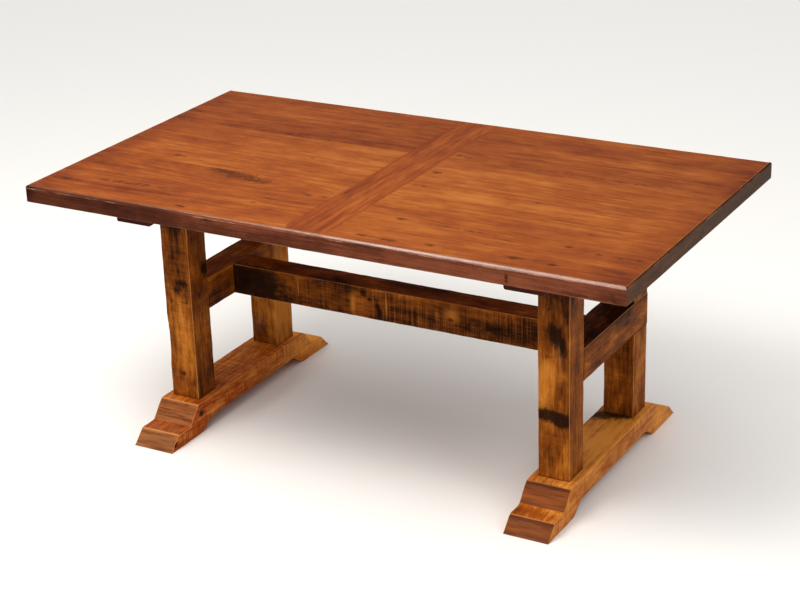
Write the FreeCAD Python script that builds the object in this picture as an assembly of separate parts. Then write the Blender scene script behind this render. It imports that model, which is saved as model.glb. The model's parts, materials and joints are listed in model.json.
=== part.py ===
"""Trestle dining table in reclaimed timber, built as the separate pieces that a joiner would cut.

X runs along the table, Y from front to back and Z up. The origin is on the floor, under the
centre of the top. All sizes are in millimetres.
"""

import FreeCAD
import Part

import math
import os

Vector = FreeCAD.Vector

# ---------------------------------------------------------------- overall sizes
table_length = 1829.0
table_width = 1041.0
table_height = 800.0

# ---------------------------------------------------------------- top
edging_height = 50.0  # depth of the mitred edging round the top
edging_thickness = 25.0
long_edge_chamfer = 8.0  # worn bevel along the front and rear edges
short_edge_chamfer = 3.0
underside_arris = 2.0
plank_thickness = 38.0
centre_board_width = 130.0  # the one board that runs from front to back
plank_shares = (213.0, 103.0, 229.0, 120.0, 224.0, 102.0)  # random widths, rear to front
joint_arris = 0.6  # small bevel that shows each joint in the top
tongue_thickness = 12.0
tongue_length = 10.0
tongue_gap = 0.5  # left at the tip of each tongue, for movement

# ---------------------------------------------------------------- under the top
cleat_width = 115.0
cleat_thickness = 57.0
cleat_setback = 76.5  # from the front and rear of the top to the ends of the cleats
cleat_arris = 6.0
batten_width = 184.0  # spans the centre board and laps both halves of the top
batten_thickness = 19.0
batten_arris = 3.0

# ---------------------------------------------------------------- trestles
trestle_setback = 310.5  # from each end of the top to the middle of its trestle
post_width = 95.0  # along X, shared by the posts and the cross rails
post_depth = 92.0  # along Y
post_centre = 220.0  # from the middle of the table to each post, along Y
timber_arris = 3.0
rail_underside = 356.0  # height of the rails and the stretcher above the floor
rail_height = 97.0
stretcher_depth = 89.0  # along Y

# ---------------------------------------------------------------- feet
foot_width = 135.0
foot_height = 96.0
toe_setback = 77.5  # from the front and rear of the top to the tips of the toes
toe_bevel_run = 42.0
tread_height = 43.0
tread_depth = 58.0
upper_bevel_run = 46.0
pad_length = 163.0  # length of floor contact at each end, from the tip of the toe
relief_height = 33.0  # how far the underside is raised between the pads
relief_run = 48.0
foot_arris = 3.0
nose_round = 7.0
cove_round = 6.0
relief_round = 10.0

# ---------------------------------------------------------------- mortises and tenons
post_tenon_side = 45.0  # square tenons at both ends of the posts
mortise_floor = 13.0  # wood left between a post's mortise and its washer's seat
cleat_tenon_length = 35.0
blind_tenon_thickness = 32.0  # tenons of the cross rails and the stretcher
blind_tenon_height = 65.0
blind_tenon_length = 50.0
mortise_gap = 1.0  # left at the bottom of each blind mortise

# ---------------------------------------------------------------- lag bolts, foot to post
bolt_radius = 5.0
bolt_grip = 110.0  # length under the head
bolt_hole_gap = 0.5
bolt_head_flats = 17.0
bolt_head_height = 7.0
washer_radius = 12.5
washer_thickness = 2.0
washer_gap = 0.4
counterbore_radius = 15.0
counterbore_depth = 11.0

# ---------------------------------------------------------------- lag screws, cleat to plank
screw_radius = 3.0
screw_bite = 26.0  # how far a screw goes into its plank
screw_head_flats = 10.0
screw_head_height = 4.5
screw_offset = 32.0  # from the middle of the cleat, clear of the post tenons
screw_room = 14.0  # least stretch of plank that takes a lag screw
slot_gap = 0.5  # on each side of a screw in its slot
slot_travel = 6.0  # how far a plank may move across the cleat

# ---------------------------------------------------------------- levels and lines
top_underside = table_height - plank_thickness
edging_underside = table_height - edging_height
cleat_length = table_width - 2 * cleat_setback
trestle_centre = table_length / 2 - trestle_setback
foot_length = table_width - 2 * toe_setback
cleat_underside = top_underside - cleat_thickness
batten_underside = top_underside - batten_thickness
rail_top = rail_underside + rail_height
rail_middle = rail_underside + rail_height / 2
field_end = table_length / 2 - edging_thickness
field_side = table_width / 2 - edging_thickness
groove_depth = tongue_length + tongue_gap
tongue_low = table_height - (plank_thickness + tongue_thickness) / 2
tongue = (tongue_low, tongue_low + tongue_thickness)
near_face = post_centre - post_depth / 2  # face of each post that looks at its partner
far_face = post_centre + post_depth / 2
bolt_seat = relief_height + counterbore_depth
foot_tenon_length = foot_height - bolt_seat - mortise_floor - mortise_gap
bolt_head_top = bolt_seat - washer_thickness
bolt_tip = bolt_head_top + bolt_grip
screw_tip = top_underside + screw_bite
LEFT, RIGHT = -1, 1
FRONT, REAR = -1, 1
SIDES = {"left": LEFT, "right": RIGHT}
ENDS = {"front": FRONT, "rear": REAR}

os.makedirs("parts", exist_ok=True)


# ---------------------------------------------------------------- helpers
def block(x, y, z):
    """A box between two limits along each axis, given in either order."""
    (x0, x1), (y0, y1), (z0, z1) = sorted(x), sorted(y), sorted(z)
    return Part.makeBox(x1 - x0, y1 - y0, z1 - z0, Vector(x0, y0, z0))


def about(middle, size):
    """The two limits of a size that is centred on a middle."""
    return (middle - size / 2, middle + size / 2)


def prism(points, direction):
    """A closed outline of points, extruded along a vector."""
    return Part.Face(Part.makePolygon(points + points[:1])).extrude(direction)


def chamfered(a, b, chamfers):
    """A rectangle as 2-D points, with a chamfer size for each of its corners.

    The corners go round from (low a, low b) to (high a, low b), (high a, high b) and
    (low a, high b).
    """
    (a0, a1), (b0, b1) = a, b
    c0, c1, c2, c3 = chamfers
    ring = [(a0, b0 + c0), (a0 + c0, b0), (a1 - c1, b0), (a1, b0 + c1)]
    ring += [(a1, b1 - c2), (a1 - c2, b1), (a0 + c3, b1), (a0, b1 - c3)]
    return [point for i, point in enumerate(ring) if point != ring[i - 1]]


def round_bar(x, y, z0, z1, radius):
    """A round bar along Z, used to cut a hole or a seat."""
    return Part.makeCylinder(radius, z1 - z0, Vector(x, y, z0))


def slot(x, y, z0, z1, radius, travel):
    """A slot along Y with round ends, to be cut out between two heights."""
    ends = [round_bar(x, y + side * travel / 2, z0, z1, radius) for side in (FRONT, REAR)]
    middle = block(about(x, 2 * radius), about(y, travel), (z0, z1))
    return middle.multiFuse(ends).removeSplitter()


def hex_screw(x, y, seat, tip, radius, head_flats, head_height):
    """A hexagon-head screw that points up, with its head under the seat."""
    corner = head_flats / math.sqrt(3)
    turns = [math.radians(60 * i) for i in range(6)]
    base = seat - head_height
    corners = [Vector(x + corner * math.cos(t), y + corner * math.sin(t), base) for t in turns]
    head = prism(corners, Vector(0, 0, head_height))
    return head.fuse(round_bar(x, y, seat, tip, radius))


def edges_along_x(shape, y, z):
    """The edges of a solid that run along X through one point of its outline."""
    found = []
    for edge in shape.Edges:
        if all(abs(vertex.Y - y) < 1e-6 and abs(vertex.Z - z) < 1e-6 for vertex in edge.Vertexes):
            found.append(edge)
    return found


def save(name, *solids):
    """Writes one node. A group of like fasteners is written as separate solids."""
    shape = solids[0] if len(solids) == 1 else Part.makeCompound(list(solids))
    if not shape.isValid() or len(shape.Solids) != len(solids):
        raise ValueError(f"{name} did not come out as {len(solids)} sound solids")
    shape.exportStep(f"parts/{name}.step")


# ---------------------------------------------------------------- top: planks and centre board
def plank_lines():
    """Y of each joint between planks, from the rear edging to the front edging."""
    lines = [field_side]
    for share in plank_shares:
        lines.append(lines[-1] - share / sum(plank_shares) * 2 * field_side)
    return lines


def plank(side, rear, front):
    """One plank of the field: tongues at its ends and front, and a groove at its rear.

    The rearmost plank has a tongue at its rear instead, because the edging is grooved.
    """
    inner, outer = side * centre_board_width / 2, side * field_end
    reach = side * tongue_length
    corners = (0.0, 0.0, joint_arris, joint_arris)
    section = chamfered((front, rear), (top_underside, table_height), corners)
    body = prism([Vector(inner, y, z) for y, z in section], Vector(outer - inner, 0, 0))
    tongues = [
        block((inner - reach, outer + reach), (front, rear), tongue),
        block((inner, outer), (front - tongue_length, front), tongue),
    ]
    if rear == field_side:
        tongues.append(block((inner, outer), (rear, rear + tongue_length), tongue))
        return body.multiFuse(tongues)
    groove = block((inner - reach, outer + reach), (rear - groove_depth, rear), tongue)
    return body.multiFuse(tongues).cut(groove)


def centre_board():
    """The cross board: grooved along both sides, with a tongue at each end for the edging."""
    faces = about(0, centre_board_width)
    corners = (0.0, 0.0, joint_arris, joint_arris)
    section = chamfered(faces, (top_underside, table_height), corners)
    board = prism([Vector(x, -field_side, z) for x, z in section], Vector(0, 2 * field_side, 0))
    reach = field_side + tongue_length
    board = board.fuse(block(faces, (-reach, reach), tongue))
    for face, side in zip(faces, (LEFT, RIGHT)):
        groove = block((face, face - side * groove_depth), (-reach, reach), tongue)
        board = board.cut(groove)
    return board.removeSplitter()


# ---------------------------------------------------------------- top: mitred edging
def edging(end, along_x):
    """One length of edging, mitred at both ends and grooved for the plank tongues."""
    half = (table_length if along_x else table_width) / 2
    face = (table_width if along_x else table_length) / 2
    field = field_end if along_x else field_side
    chamfer = long_edge_chamfer if along_x else short_edge_chamfer

    def place(run, inset, height):
        across = end * (face - inset)
        return Vector(run, across, height) if along_x else Vector(across, run, height)

    corners = (underside_arris, underside_arris, 0.0, chamfer)
    section = chamfered((0.0, edging_thickness), (edging_underside, table_height), corners)
    outline = [place(-half, inset, height) for inset, height in section]
    strip = prism(outline, place(half, 0, 0) - place(-half, 0, 0))
    inner = half - edging_thickness
    plan = [(-half, 0), (half, 0), (inner, edging_thickness), (-inner, edging_thickness)]
    mitred = strip.common(prism([place(*point, 0) for point in plan], Vector(0, 0, table_height)))
    across = (end * (face - edging_thickness), end * (face - edging_thickness + groove_depth))
    run = (-field, field)
    groove = block(run, across, tongue) if along_x else block(across, run, tongue)
    return mitred.cut(groove).removeSplitter()


# ---------------------------------------------------------------- under the top
def screw_line(rear, front):
    """Y of a plank's lag screw: the middle of its widest stretch over a cleat, clear of the posts.

    None where the posts leave no room. That plank is held by the tongues of its neighbours.
    """
    marks = (-cleat_length / 2, -far_face, -near_face, near_face, far_face, cleat_length / 2)
    free = zip(marks[::2], marks[1::2])
    stretches = [(max(start, front), min(stop, rear - groove_depth)) for start, stop in free]
    start, stop = max(stretches, key=lambda stretch: stretch[1] - stretch[0])
    return (start + stop) / 2 if stop - start > screw_room else None


def screw_points(side):
    """The lag screws of one cleat, as plank number: (x, y), towards the end and the middle in turn."""
    lines = plank_lines()
    points = {}
    for index, (rear, front) in enumerate(zip(lines, lines[1:])):
        y = screw_line(rear, front)
        if y is not None:
            points[index] = (side * (trestle_centre + screw_offset * (-1) ** index), y)
    return points


def bar_under_top(x, width, underside, arris):
    """A bar that runs from front to back under the planks, with its lower arrises taken off."""
    corners = (arris, arris, 0.0, 0.0)
    level = (underside, top_underside)
    start, run = -cleat_length / 2, Vector(0, cleat_length, 0)
    section = chamfered(about(x, width), level, corners)
    bar = prism([Vector(across, start, height) for across, height in section], run)
    side_view = chamfered(about(0, cleat_length), level, corners)
    edge = x - width / 2
    ends = prism([Vector(edge, y, height) for y, height in side_view], Vector(width, 0, 0))
    return bar.common(ends)


def cleat(side):
    """A cleat across the planks, with mortises for two posts and slots for its screws."""
    x = side * trestle_centre
    bar = bar_under_top(x, cleat_width, cleat_underside, cleat_arris)
    mortise = (cleat_underside, cleat_underside + cleat_tenon_length + mortise_gap)
    for end in ENDS.values():
        bar = bar.cut(post_tenon(x, end * post_centre, mortise))
    for sx, sy in screw_points(side).values():
        hole = slot(sx, sy, cleat_underside, top_underside, screw_radius + slot_gap, slot_travel)
        bar = bar.cut(hole)
    return bar.removeSplitter()


def cleat_screw(x, y):
    """A lag screw that holds a plank down to its cleat."""
    head = (screw_head_flats, screw_head_height)
    return hex_screw(x, y, cleat_underside, screw_tip, screw_radius, *head)


def bored_plank(side, index):
    """A plank with the hole of its lag screw, if it has one."""
    rear, front = plank_lines()[index : index + 2]
    shape = plank(side, rear, front)
    if index in screw_points(side):
        x, y = screw_points(side)[index]
        shape = shape.cut(round_bar(x, y, top_underside, screw_tip, screw_radius))
    return shape


# ---------------------------------------------------------------- trestles
def post_tenon(x, y, z):
    """The square tenon of a post, or the mortise that takes it."""
    return block(about(x, post_tenon_side), about(y, post_tenon_side), z)


def rail_tenon(x, length):
    """The blind tenon of a cross rail in its front post, or the mortise that takes it."""
    y = (-near_face - length, -near_face)
    return block(about(x, blind_tenon_thickness), y, about(rail_middle, blind_tenon_height))


def stretcher_tenon(side, length):
    """The blind tenon of the stretcher in a cross rail, or the mortise that takes it."""
    face = side * (trestle_centre - post_width / 2)
    x, y = (face, face + side * length), about(0, blind_tenon_thickness)
    return block(x, y, about(rail_middle, blind_tenon_height))


def rail_lap(side):
    """The outer half of a cross rail where it laps over the rear post, flush with its faces."""
    x = sorted((side * trestle_centre, side * (trestle_centre + post_width / 2)))
    outer_corner = 2 if side == RIGHT else 3
    corners = [timber_arris if i == outer_corner else 0.0 for i in range(4)]
    section = chamfered(x, (near_face, far_face), corners)
    return prism([Vector(a, b, rail_underside) for a, b in section], Vector(0, 0, rail_height))


def post(side, end):
    """A post with a tenon at each end, joined to its cross rail and bored for its lag bolt."""
    x, y = side * trestle_centre, end * post_centre
    section = chamfered(about(x, post_width), about(y, post_depth), (timber_arris,) * 4)
    height = Vector(0, 0, cleat_underside - foot_height)
    shape = prism([Vector(a, b, foot_height) for a, b in section], height)
    shape = shape.fuse(post_tenon(x, y, (foot_height - foot_tenon_length, foot_height)))
    shape = shape.fuse(post_tenon(x, y, (cleat_underside, cleat_underside + cleat_tenon_length)))
    if end == REAR:
        outer_half = (x, x + side * post_width / 2)
        notch = block(outer_half, (near_face, far_face), (rail_underside, rail_top))
        shape = shape.cut(notch)
    else:
        shape = shape.cut(rail_tenon(x, blind_tenon_length + mortise_gap))
    bolt = round_bar(x, y, foot_height - foot_tenon_length, bolt_tip, bolt_radius)
    return shape.cut(bolt).removeSplitter()


def cross_rail(side):
    """A cross rail: a blind tenon at the front post and a half-lap over the rear post."""
    x = side * trestle_centre
    section = chamfered(about(x, post_width), (rail_underside, rail_top), (timber_arris,) * 4)
    run = Vector(0, 2 * near_face, 0)
    shape = prism([Vector(a, -near_face, b) for a, b in section], run)
    shape = shape.fuse(rail_tenon(x, blind_tenon_length)).fuse(rail_lap(side))
    return shape.cut(stretcher_tenon(side, blind_tenon_length + mortise_gap)).removeSplitter()


def stretcher():
    """The long stretcher, level with the cross rails and tenoned into both of them."""
    end = trestle_centre - post_width / 2
    section = chamfered(about(0, stretcher_depth), (rail_underside, rail_top), (timber_arris,) * 4)
    shape = prism([Vector(-end, a, b) for a, b in section], Vector(2 * end, 0, 0))
    tenons = [stretcher_tenon(side, blind_tenon_length) for side in SIDES.values()]
    return shape.multiFuse(tenons).removeSplitter()


# ---------------------------------------------------------------- feet
def foot_corners():
    """Half of the stepped outline of a foot, from the middle of the top round to the middle
    of the underside, as (distance from the middle, height, corner radius)."""
    toe = foot_length / 2
    nose = toe - toe_bevel_run
    cove = nose - tread_depth
    brow = cove - upper_bevel_run
    heel = toe - pad_length
    return [
        (brow, foot_height, nose_round),
        (cove, tread_height, cove_round),
        (nose, tread_height, nose_round),
        (toe, 0.0, 0.0),
        (heel, 0.0, 0.0),
        (heel - relief_run, relief_height, relief_round),
    ]


def foot(side):
    """A foot with stepped toes and a raised underside, mortised and bored for its posts."""
    x0, x1 = about(side * trestle_centre, foot_width)
    rear = foot_corners()
    front = [(-y, z, radius) for y, z, radius in reversed(rear)]
    outline = [Vector(x0, y, z) for y, z, _ in rear + front]
    shape = prism(outline, Vector(foot_width, 0, 0))
    for y, z, radius in rear + front:
        if radius:
            shape = shape.makeFillet(radius, edges_along_x(shape, y, z))
    worn = [edge for x in (x0, x1) for edge in upper_outline(shape, x)]
    shape = shape.makeChamfer(foot_arris, worn)
    x, mortise = side * trestle_centre, (foot_height - foot_tenon_length - mortise_gap, foot_height)
    for end in ENDS.values():
        y = end * post_centre
        shape = shape.cut(post_tenon(x, y, mortise))
        shape = shape.cut(round_bar(x, y, 0.0, bolt_seat, counterbore_radius))
        shape = shape.cut(round_bar(x, y, bolt_seat, mortise[0], bolt_radius + bolt_hole_gap))
    return shape.removeSplitter()


def upper_outline(shape, x):
    """The edges of a foot's side face that run over its toes and its top."""
    inner = foot_length / 2 - pad_length
    found = []
    for edge in shape.Edges:
        on_side = all(abs(vertex.X - x) < 1e-6 for vertex in edge.Vertexes)
        middle = edge.CenterOfMass
        below = middle.z < 1e-6 or (abs(middle.y) < inner and middle.z < foot_height / 2)
        if on_side and not below:
            found.append(edge)
    return found


# ---------------------------------------------------------------- lag bolts
def bolt_points():
    """The axis of each lag bolt, one under each post."""
    return [(s * trestle_centre, e * post_centre) for s in SIDES.values() for e in ENDS.values()]


def lag_bolt(x, y):
    """A lag bolt that goes up through the foot into the post."""
    head = (bolt_head_flats, bolt_head_height)
    return hex_screw(x, y, bolt_head_top, bolt_tip, bolt_radius, *head)


def washer(x, y):
    """The flat washer between a lag bolt's head and the foot."""
    disc = round_bar(x, y, bolt_head_top, bolt_seat, washer_radius)
    return disc.cut(round_bar(x, y, bolt_head_top, bolt_seat, bolt_radius + washer_gap))


# ---------------------------------------------------------------- the table
for side_name, side in SIDES.items():
    for index in range(len(plank_shares)):
        save(f"plank_{side_name}_{index + 1}", bored_plank(side, index))
    save(f"edging_{side_name}", edging(side, along_x=False))
    save(f"cleat_{side_name}", cleat(side))
    save(f"cross_rail_{side_name}", cross_rail(side))
    save(f"foot_{side_name}", foot(side))
    for end_name, end in ENDS.items():
        save(f"post_{end_name}_{side_name}", post(side, end))
for end_name, end in ENDS.items():
    save(f"edging_{end_name}", edging(end, along_x=True))
save("centre_board", centre_board())
save("centre_batten", bar_under_top(0.0, batten_width, batten_underside, batten_arris))
save("stretcher", stretcher())
screwed = [point for side in SIDES.values() for point in screw_points(side).values()]
save("cleat_screws", *[cleat_screw(x, y) for x, y in screwed])
save("lag_bolts", *[lag_bolt(x, y) for x, y in bolt_points()])
save("lag_bolt_washers", *[washer(x, y) for x, y in bolt_points()])
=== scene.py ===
"""Trestle dining table in reclaimed timber: worn surfaces, stained and varnished finishes, studio.

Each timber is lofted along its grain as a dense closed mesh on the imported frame. One Geometry
Nodes tool wears its surface, and one procedural wood shader reads the grain, marks and wear that
the mesh carries as attributes. X runs along the table, Y from front to back and Z up, in metres.
"""

import json
import math

import bpy
import numpy as np
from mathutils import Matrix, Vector

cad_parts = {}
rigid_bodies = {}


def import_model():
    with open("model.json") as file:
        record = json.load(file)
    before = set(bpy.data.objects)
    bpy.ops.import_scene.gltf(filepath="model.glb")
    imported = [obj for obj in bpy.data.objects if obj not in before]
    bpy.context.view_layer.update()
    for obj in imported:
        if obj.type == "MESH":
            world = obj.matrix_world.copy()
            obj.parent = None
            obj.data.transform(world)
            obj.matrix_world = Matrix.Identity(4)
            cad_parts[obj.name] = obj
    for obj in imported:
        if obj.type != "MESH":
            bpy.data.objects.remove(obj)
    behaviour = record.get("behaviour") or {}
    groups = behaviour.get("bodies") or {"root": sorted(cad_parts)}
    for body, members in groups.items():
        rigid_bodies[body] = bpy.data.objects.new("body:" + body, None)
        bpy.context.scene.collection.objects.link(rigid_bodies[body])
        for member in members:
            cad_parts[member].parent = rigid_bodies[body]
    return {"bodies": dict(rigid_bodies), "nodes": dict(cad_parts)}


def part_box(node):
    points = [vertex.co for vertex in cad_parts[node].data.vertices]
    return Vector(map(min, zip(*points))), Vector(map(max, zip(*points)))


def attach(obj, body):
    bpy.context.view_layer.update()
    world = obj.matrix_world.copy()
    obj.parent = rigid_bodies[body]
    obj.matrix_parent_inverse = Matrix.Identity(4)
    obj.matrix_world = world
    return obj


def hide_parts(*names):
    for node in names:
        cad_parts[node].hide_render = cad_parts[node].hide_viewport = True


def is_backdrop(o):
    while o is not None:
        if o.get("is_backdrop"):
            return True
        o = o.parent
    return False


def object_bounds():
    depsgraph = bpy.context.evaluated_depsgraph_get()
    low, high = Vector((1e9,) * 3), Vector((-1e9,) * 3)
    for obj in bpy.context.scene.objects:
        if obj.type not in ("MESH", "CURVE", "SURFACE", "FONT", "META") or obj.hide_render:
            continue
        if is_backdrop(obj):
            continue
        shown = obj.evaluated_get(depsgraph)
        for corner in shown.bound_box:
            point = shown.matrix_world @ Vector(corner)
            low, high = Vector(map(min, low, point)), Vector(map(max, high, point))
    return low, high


bl_info = {
    "name": "Trestle dining table",
    "version": (1, 0, 0),
    "blender": (4, 5, 0),
    "location": "3D View > Sidebar > Table",
    "description": "Builds the worn timbers, the fasteners and the studio of a trestle table",
    "category": "Add Mesh",
}

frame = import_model()
cad_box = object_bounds()

BODY = next(iter(frame["bodies"]))
MM = 0.001
SIDES = {"left": -1, "right": 1}
ENDS = {"front": -1, "rear": 1}
PLANKS = 6
TONGUE = 10 * MM  # length of the tongues, which the neighbouring pieces hide
UNDER_CELL = 30 * MM  # spacing of the mesh across the plain lower side of the top
SEEDS = {  # of the grain of each kind of timber; the planks have 0 to 12
    "cross": 21, "edging": 31, "cleats": 41, "posts": 51, "rails": 61, "stretcher": 71, "feet": 81,
}


# ---------------------------------------------------------------- sizes and colours to change
TIMBERS = {  # timber: its name, the pieces it is in, and its dark, middle and light stain
    "top": ("Top", "planks", "5E230B 8D4617 B06A2A"),
    "cross": ("Centre board", "centre board", "541C0A 823C13 A75C22"),
    "edge": ("Edging", "edging at the front and rear", "260E07 4E2617 7C432C"),
    "side": ("End edging", "edging at the ends", "231106 482A14 784826"),
    "beam": ("Trestle timber", "posts, rails and stretcher", "2A1204 82430F C67A2A"),
    "foot": ("Right foot", "right foot", "562608 A25217 E2943E"),
    "red_foot": ("Left foot", "left foot", "521E08 A0440D EE9A3C"),
    "under": ("Underside", "cleats and the batten", "160805 3C190F 4A2415"),
}
STREAKS = ("dark", "middle", "light")


def stain(code):
    """A colour written as six hexadecimal digits, in the linear values that Blender works in."""
    levels = [int(code[i : i + 2], 16) / 255 for i in (0, 2, 4)]
    return tuple(c / 12.92 if c <= 0.04045 else ((c + 0.055) / 1.055) ** 2.4 for c in levels)


def colour(name, code, note):
    return bpy.props.FloatVectorProperty(
        name=name, description=note, subtype="COLOR", size=3, min=0, max=1, default=stain(code)
    )


def number(name, default, note, unit="NONE", least=0):
    return bpy.props.FloatProperty(
        name=name, description=note, unit=unit, min=least, default=default
    )


def length(name, millimetres, note):
    return number(name, millimetres * MM, note, "LENGTH")


class TableSizes(bpy.types.PropertyGroup):
    """Sizes of the worn surfaces."""

    cell: length("Cell", 4.0, "Spacing of the mesh that carries the wear and the marks")
    plank_arris: length("Plank arris", 0.7, "Softened arris that shows each joint between planks")
    timber_arris: length("Timber arris", 3.0, "Rounded arris of the posts, rails and stretcher")
    foot_arris: length("Foot arris", 3.5, "Rounded arris along the feet")
    wear: length("Wear", 1.8, "How deep use has worn the arrises of the sawn timbers")
    foot_wear: length("Foot wear", 1.4, "How deep use has worn the arrises of the feet")
    board_wear: length("Board wear", 0.4, "How deep use has worn the planks and the centre board")
    top_wear: length("Top wear", 0.5, "How deep use has worn the arrises of the edging")
    kerf: length("Kerf", 0.5, "Depth of the marks that the saw left across the sawn timbers")
    kerf_spacing: length("Kerf spacing", 9.0, "Distance from one saw mark to the next")


class TableColours(bpy.types.PropertyGroup):
    """Colours of the pieces. The stains of the timbers join them below."""

    # The knot colour also paints the shadow and shade marked among the stains.
    knot: colour("Knots", "140804", "Knots, stains and cracks")
    grey: colour("Weathered wood", "9C8266", "Wood that has weathered grey")
    arris: colour("Worn arrises", "C88A52", "Wood that shows where an arris is rubbed bare")
    # This colour also paints the highlight along the front bevel of the edging.
    edge_arris: colour("Worn edging", "BE8A6C", "Wood that shows where the edging is rubbed bare")
    steel: colour("Fasteners", "9A9A98", "Zinc on the lag screws, the lag bolts and their washers")
    floor: colour("Floor", "F4F2EE", "Studio floor")


for timber, (label, pieces, codes) in TIMBERS.items():
    for streak, code in zip(STREAKS, codes.split()):
        note = f"Stain of the {streak} streaks of the {pieces}"
        added = colour(f"{label}, {streak}", code, note)
        TableColours.__annotations__[f"{timber}_{streak}"] = added


class TableStudio(bpy.types.PropertyGroup):
    """Light and camera."""

    daylight: number("Daylight", 1.25, "Strength of the light from all round")
    softbox: number("Softbox", 90, "Power of the overhead softbox", "POWER")
    fill: number("Fill", 45, "Power of the front fill light", "POWER")
    side_light: number("Side light", 25, "Power of the light from the right", "POWER")
    lens: number("Lens", 87.236, "Focal length for a 36 mm sensor", "CAMERA", least=1)


# ---------------------------------------------------------------- node trees as expressions
class Value:
    """An output socket that takes part in Python expressions, each of which adds a Math node."""

    def __init__(self, graph, socket):
        self.graph = graph
        self.socket = socket

    def __add__(self, other):
        return self.graph.math("ADD", self, other)

    def __sub__(self, other):
        return self.graph.math("SUBTRACT", self, other)

    def __rsub__(self, other):
        return self.graph.math("SUBTRACT", other, self)

    def __mul__(self, other):
        return self.graph.math("MULTIPLY", self, other)

    def __truediv__(self, other):
        return self.graph.math("DIVIDE", self, other)

    def __rtruediv__(self, other):
        return self.graph.math("DIVIDE", other, self)

    def __pow__(self, other):
        return self.graph.math("POWER", self, other)

    __radd__ = __add__
    __rmul__ = __mul__


class Graph:
    """A node tree, of a material or a Geometry Nodes tool, and the one way to add nodes to it."""

    def __init__(self, tree):
        self.tree = tree

    def add(self, kind, settings=None, inputs=None):
        """Adds a node: its settings first, then the values or links of its sockets."""
        node = self.tree.nodes.new(kind)
        for name, value in (settings or {}).items():
            if name == "stops":
                self.set_stops(node.color_ramp, value)
            else:
                setattr(node, name, value)
        for key, value in (inputs or {}).items():
            if isinstance(value, list):
                for each in value:
                    self.tree.links.new(each.socket, node.inputs[key])
            elif isinstance(value, Value):
                self.tree.links.new(value.socket, node.inputs[key])
            else:
                node.inputs[key].default_value = value
        return node

    def value(self, kind, settings=None, inputs=None, output=0):
        """Adds a node and returns one of its outputs, ready for an expression."""
        return Value(self, self.add(kind, settings, inputs).outputs[output])

    def set_stops(self, ramp, stops):
        while len(ramp.elements) < len(stops):
            ramp.elements.new(1.0)
        for element, (position, rgb) in zip(ramp.elements, stops):
            element.position = position
            element.color = (*rgb, 1.0)

    def math(self, operation, *terms, clamp=False):
        settings = {"operation": operation, "use_clamp": clamp}
        return self.value("ShaderNodeMath", settings, dict(enumerate(terms)))

    def scaled(self, vector, factors):
        """A vector with each of its parts multiplied by its own number."""
        settings = {"operation": "MULTIPLY"}
        return self.value("ShaderNodeVectorMath", settings, {0: vector, 1: factors})

    def noise(self, vector, detail=2.0, roughness=0.5, scale=1.0):
        inputs = {"Vector": vector, "Scale": scale, "Detail": detail, "Roughness": roughness}
        return self.value("ShaderNodeTexNoise", {}, inputs)

    def ramp(self, value, low, high):
        """A number that goes smoothly from 0 where the value is low to 1 where it is high."""
        inputs = {"Value": value, "From Min": low, "From Max": high}
        return self.value("ShaderNodeMapRange", {"interpolation_type": "SMOOTHSTEP"}, inputs)

    def blend(self, factor, first, second):
        """Two colours, mixed by a factor."""
        first, second = (c if isinstance(c, Value) else (*c, 1.0) for c in (first, second))
        inputs = {0: factor, 6: first, 7: second}
        return self.value("ShaderNodeMix", {"data_type": "RGBA"}, inputs, 2)

    def surface(self, inputs):
        """Ends a material with its shader."""
        shader = self.value("ShaderNodeBsdfPrincipled", {}, inputs)
        self.add("ShaderNodeOutputMaterial", {}, {"Surface": shader})


def new_material(name):
    """A new material with no nodes yet, and its graph."""
    material = bpy.data.materials.new(name)
    material.use_nodes = True
    material.node_tree.nodes.clear()
    return material, Graph(material.node_tree)


# ---------------------------------------------------------------- finishes
class Look:
    """How strongly each part of the grain shows in a finish."""

    def __init__(self, **shares):
        self.stains = None  # the timber whose stains it has, where its own name isn't one
        self.cloud = 0.25  # slow changes of tone
        self.ring = 0.2  # growth rings
        self.ring_gap = 9 * MM
        self.streak = 0.5
        self.fibre = 0.25
        self.fine = 0.3  # fine lines between the streaks and the fibres
        self.saw = 0.0  # marks across the grain
        self.saw_floor = 0.0  # how much of them shows where they are faintest
        self.saw_run = 130.0  # how often they come, in each metre
        self.rough = 0.42
        self.bump = 0.3
        self.bare = 0.35  # how bare the arrises are rubbed
        self.blotch = 0.0  # weather stains
        self.gloss = 0.12  # strength of plain reflections
        self.mark = 0.92  # how dark knots and stains come out
        self.arris = 2.2 * MM  # how far from an arris the wood is rubbed
        self.worn = "arris"  # the colour of the rubbed arrises
        self.weathered = "grey"  # the colour of the weathered places, which on the edging's front bevel also paints a highlight
        self.sound = 0.22  # how much of each arris has kept its stain
        self.ragged = 0.7  # how ragged the outlines of knots and stains are
        self.patch_run = 34.0  # how often the rubbed places come, in each metre of an arris
        self.dash = 0.35  # short dark lines along the grain
        self.dash_run = 26.0  # how often they come, in each metre along the grain
        self.dash_rise = 700.0  # and across it
        self.__dict__.update(shares)


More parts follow.
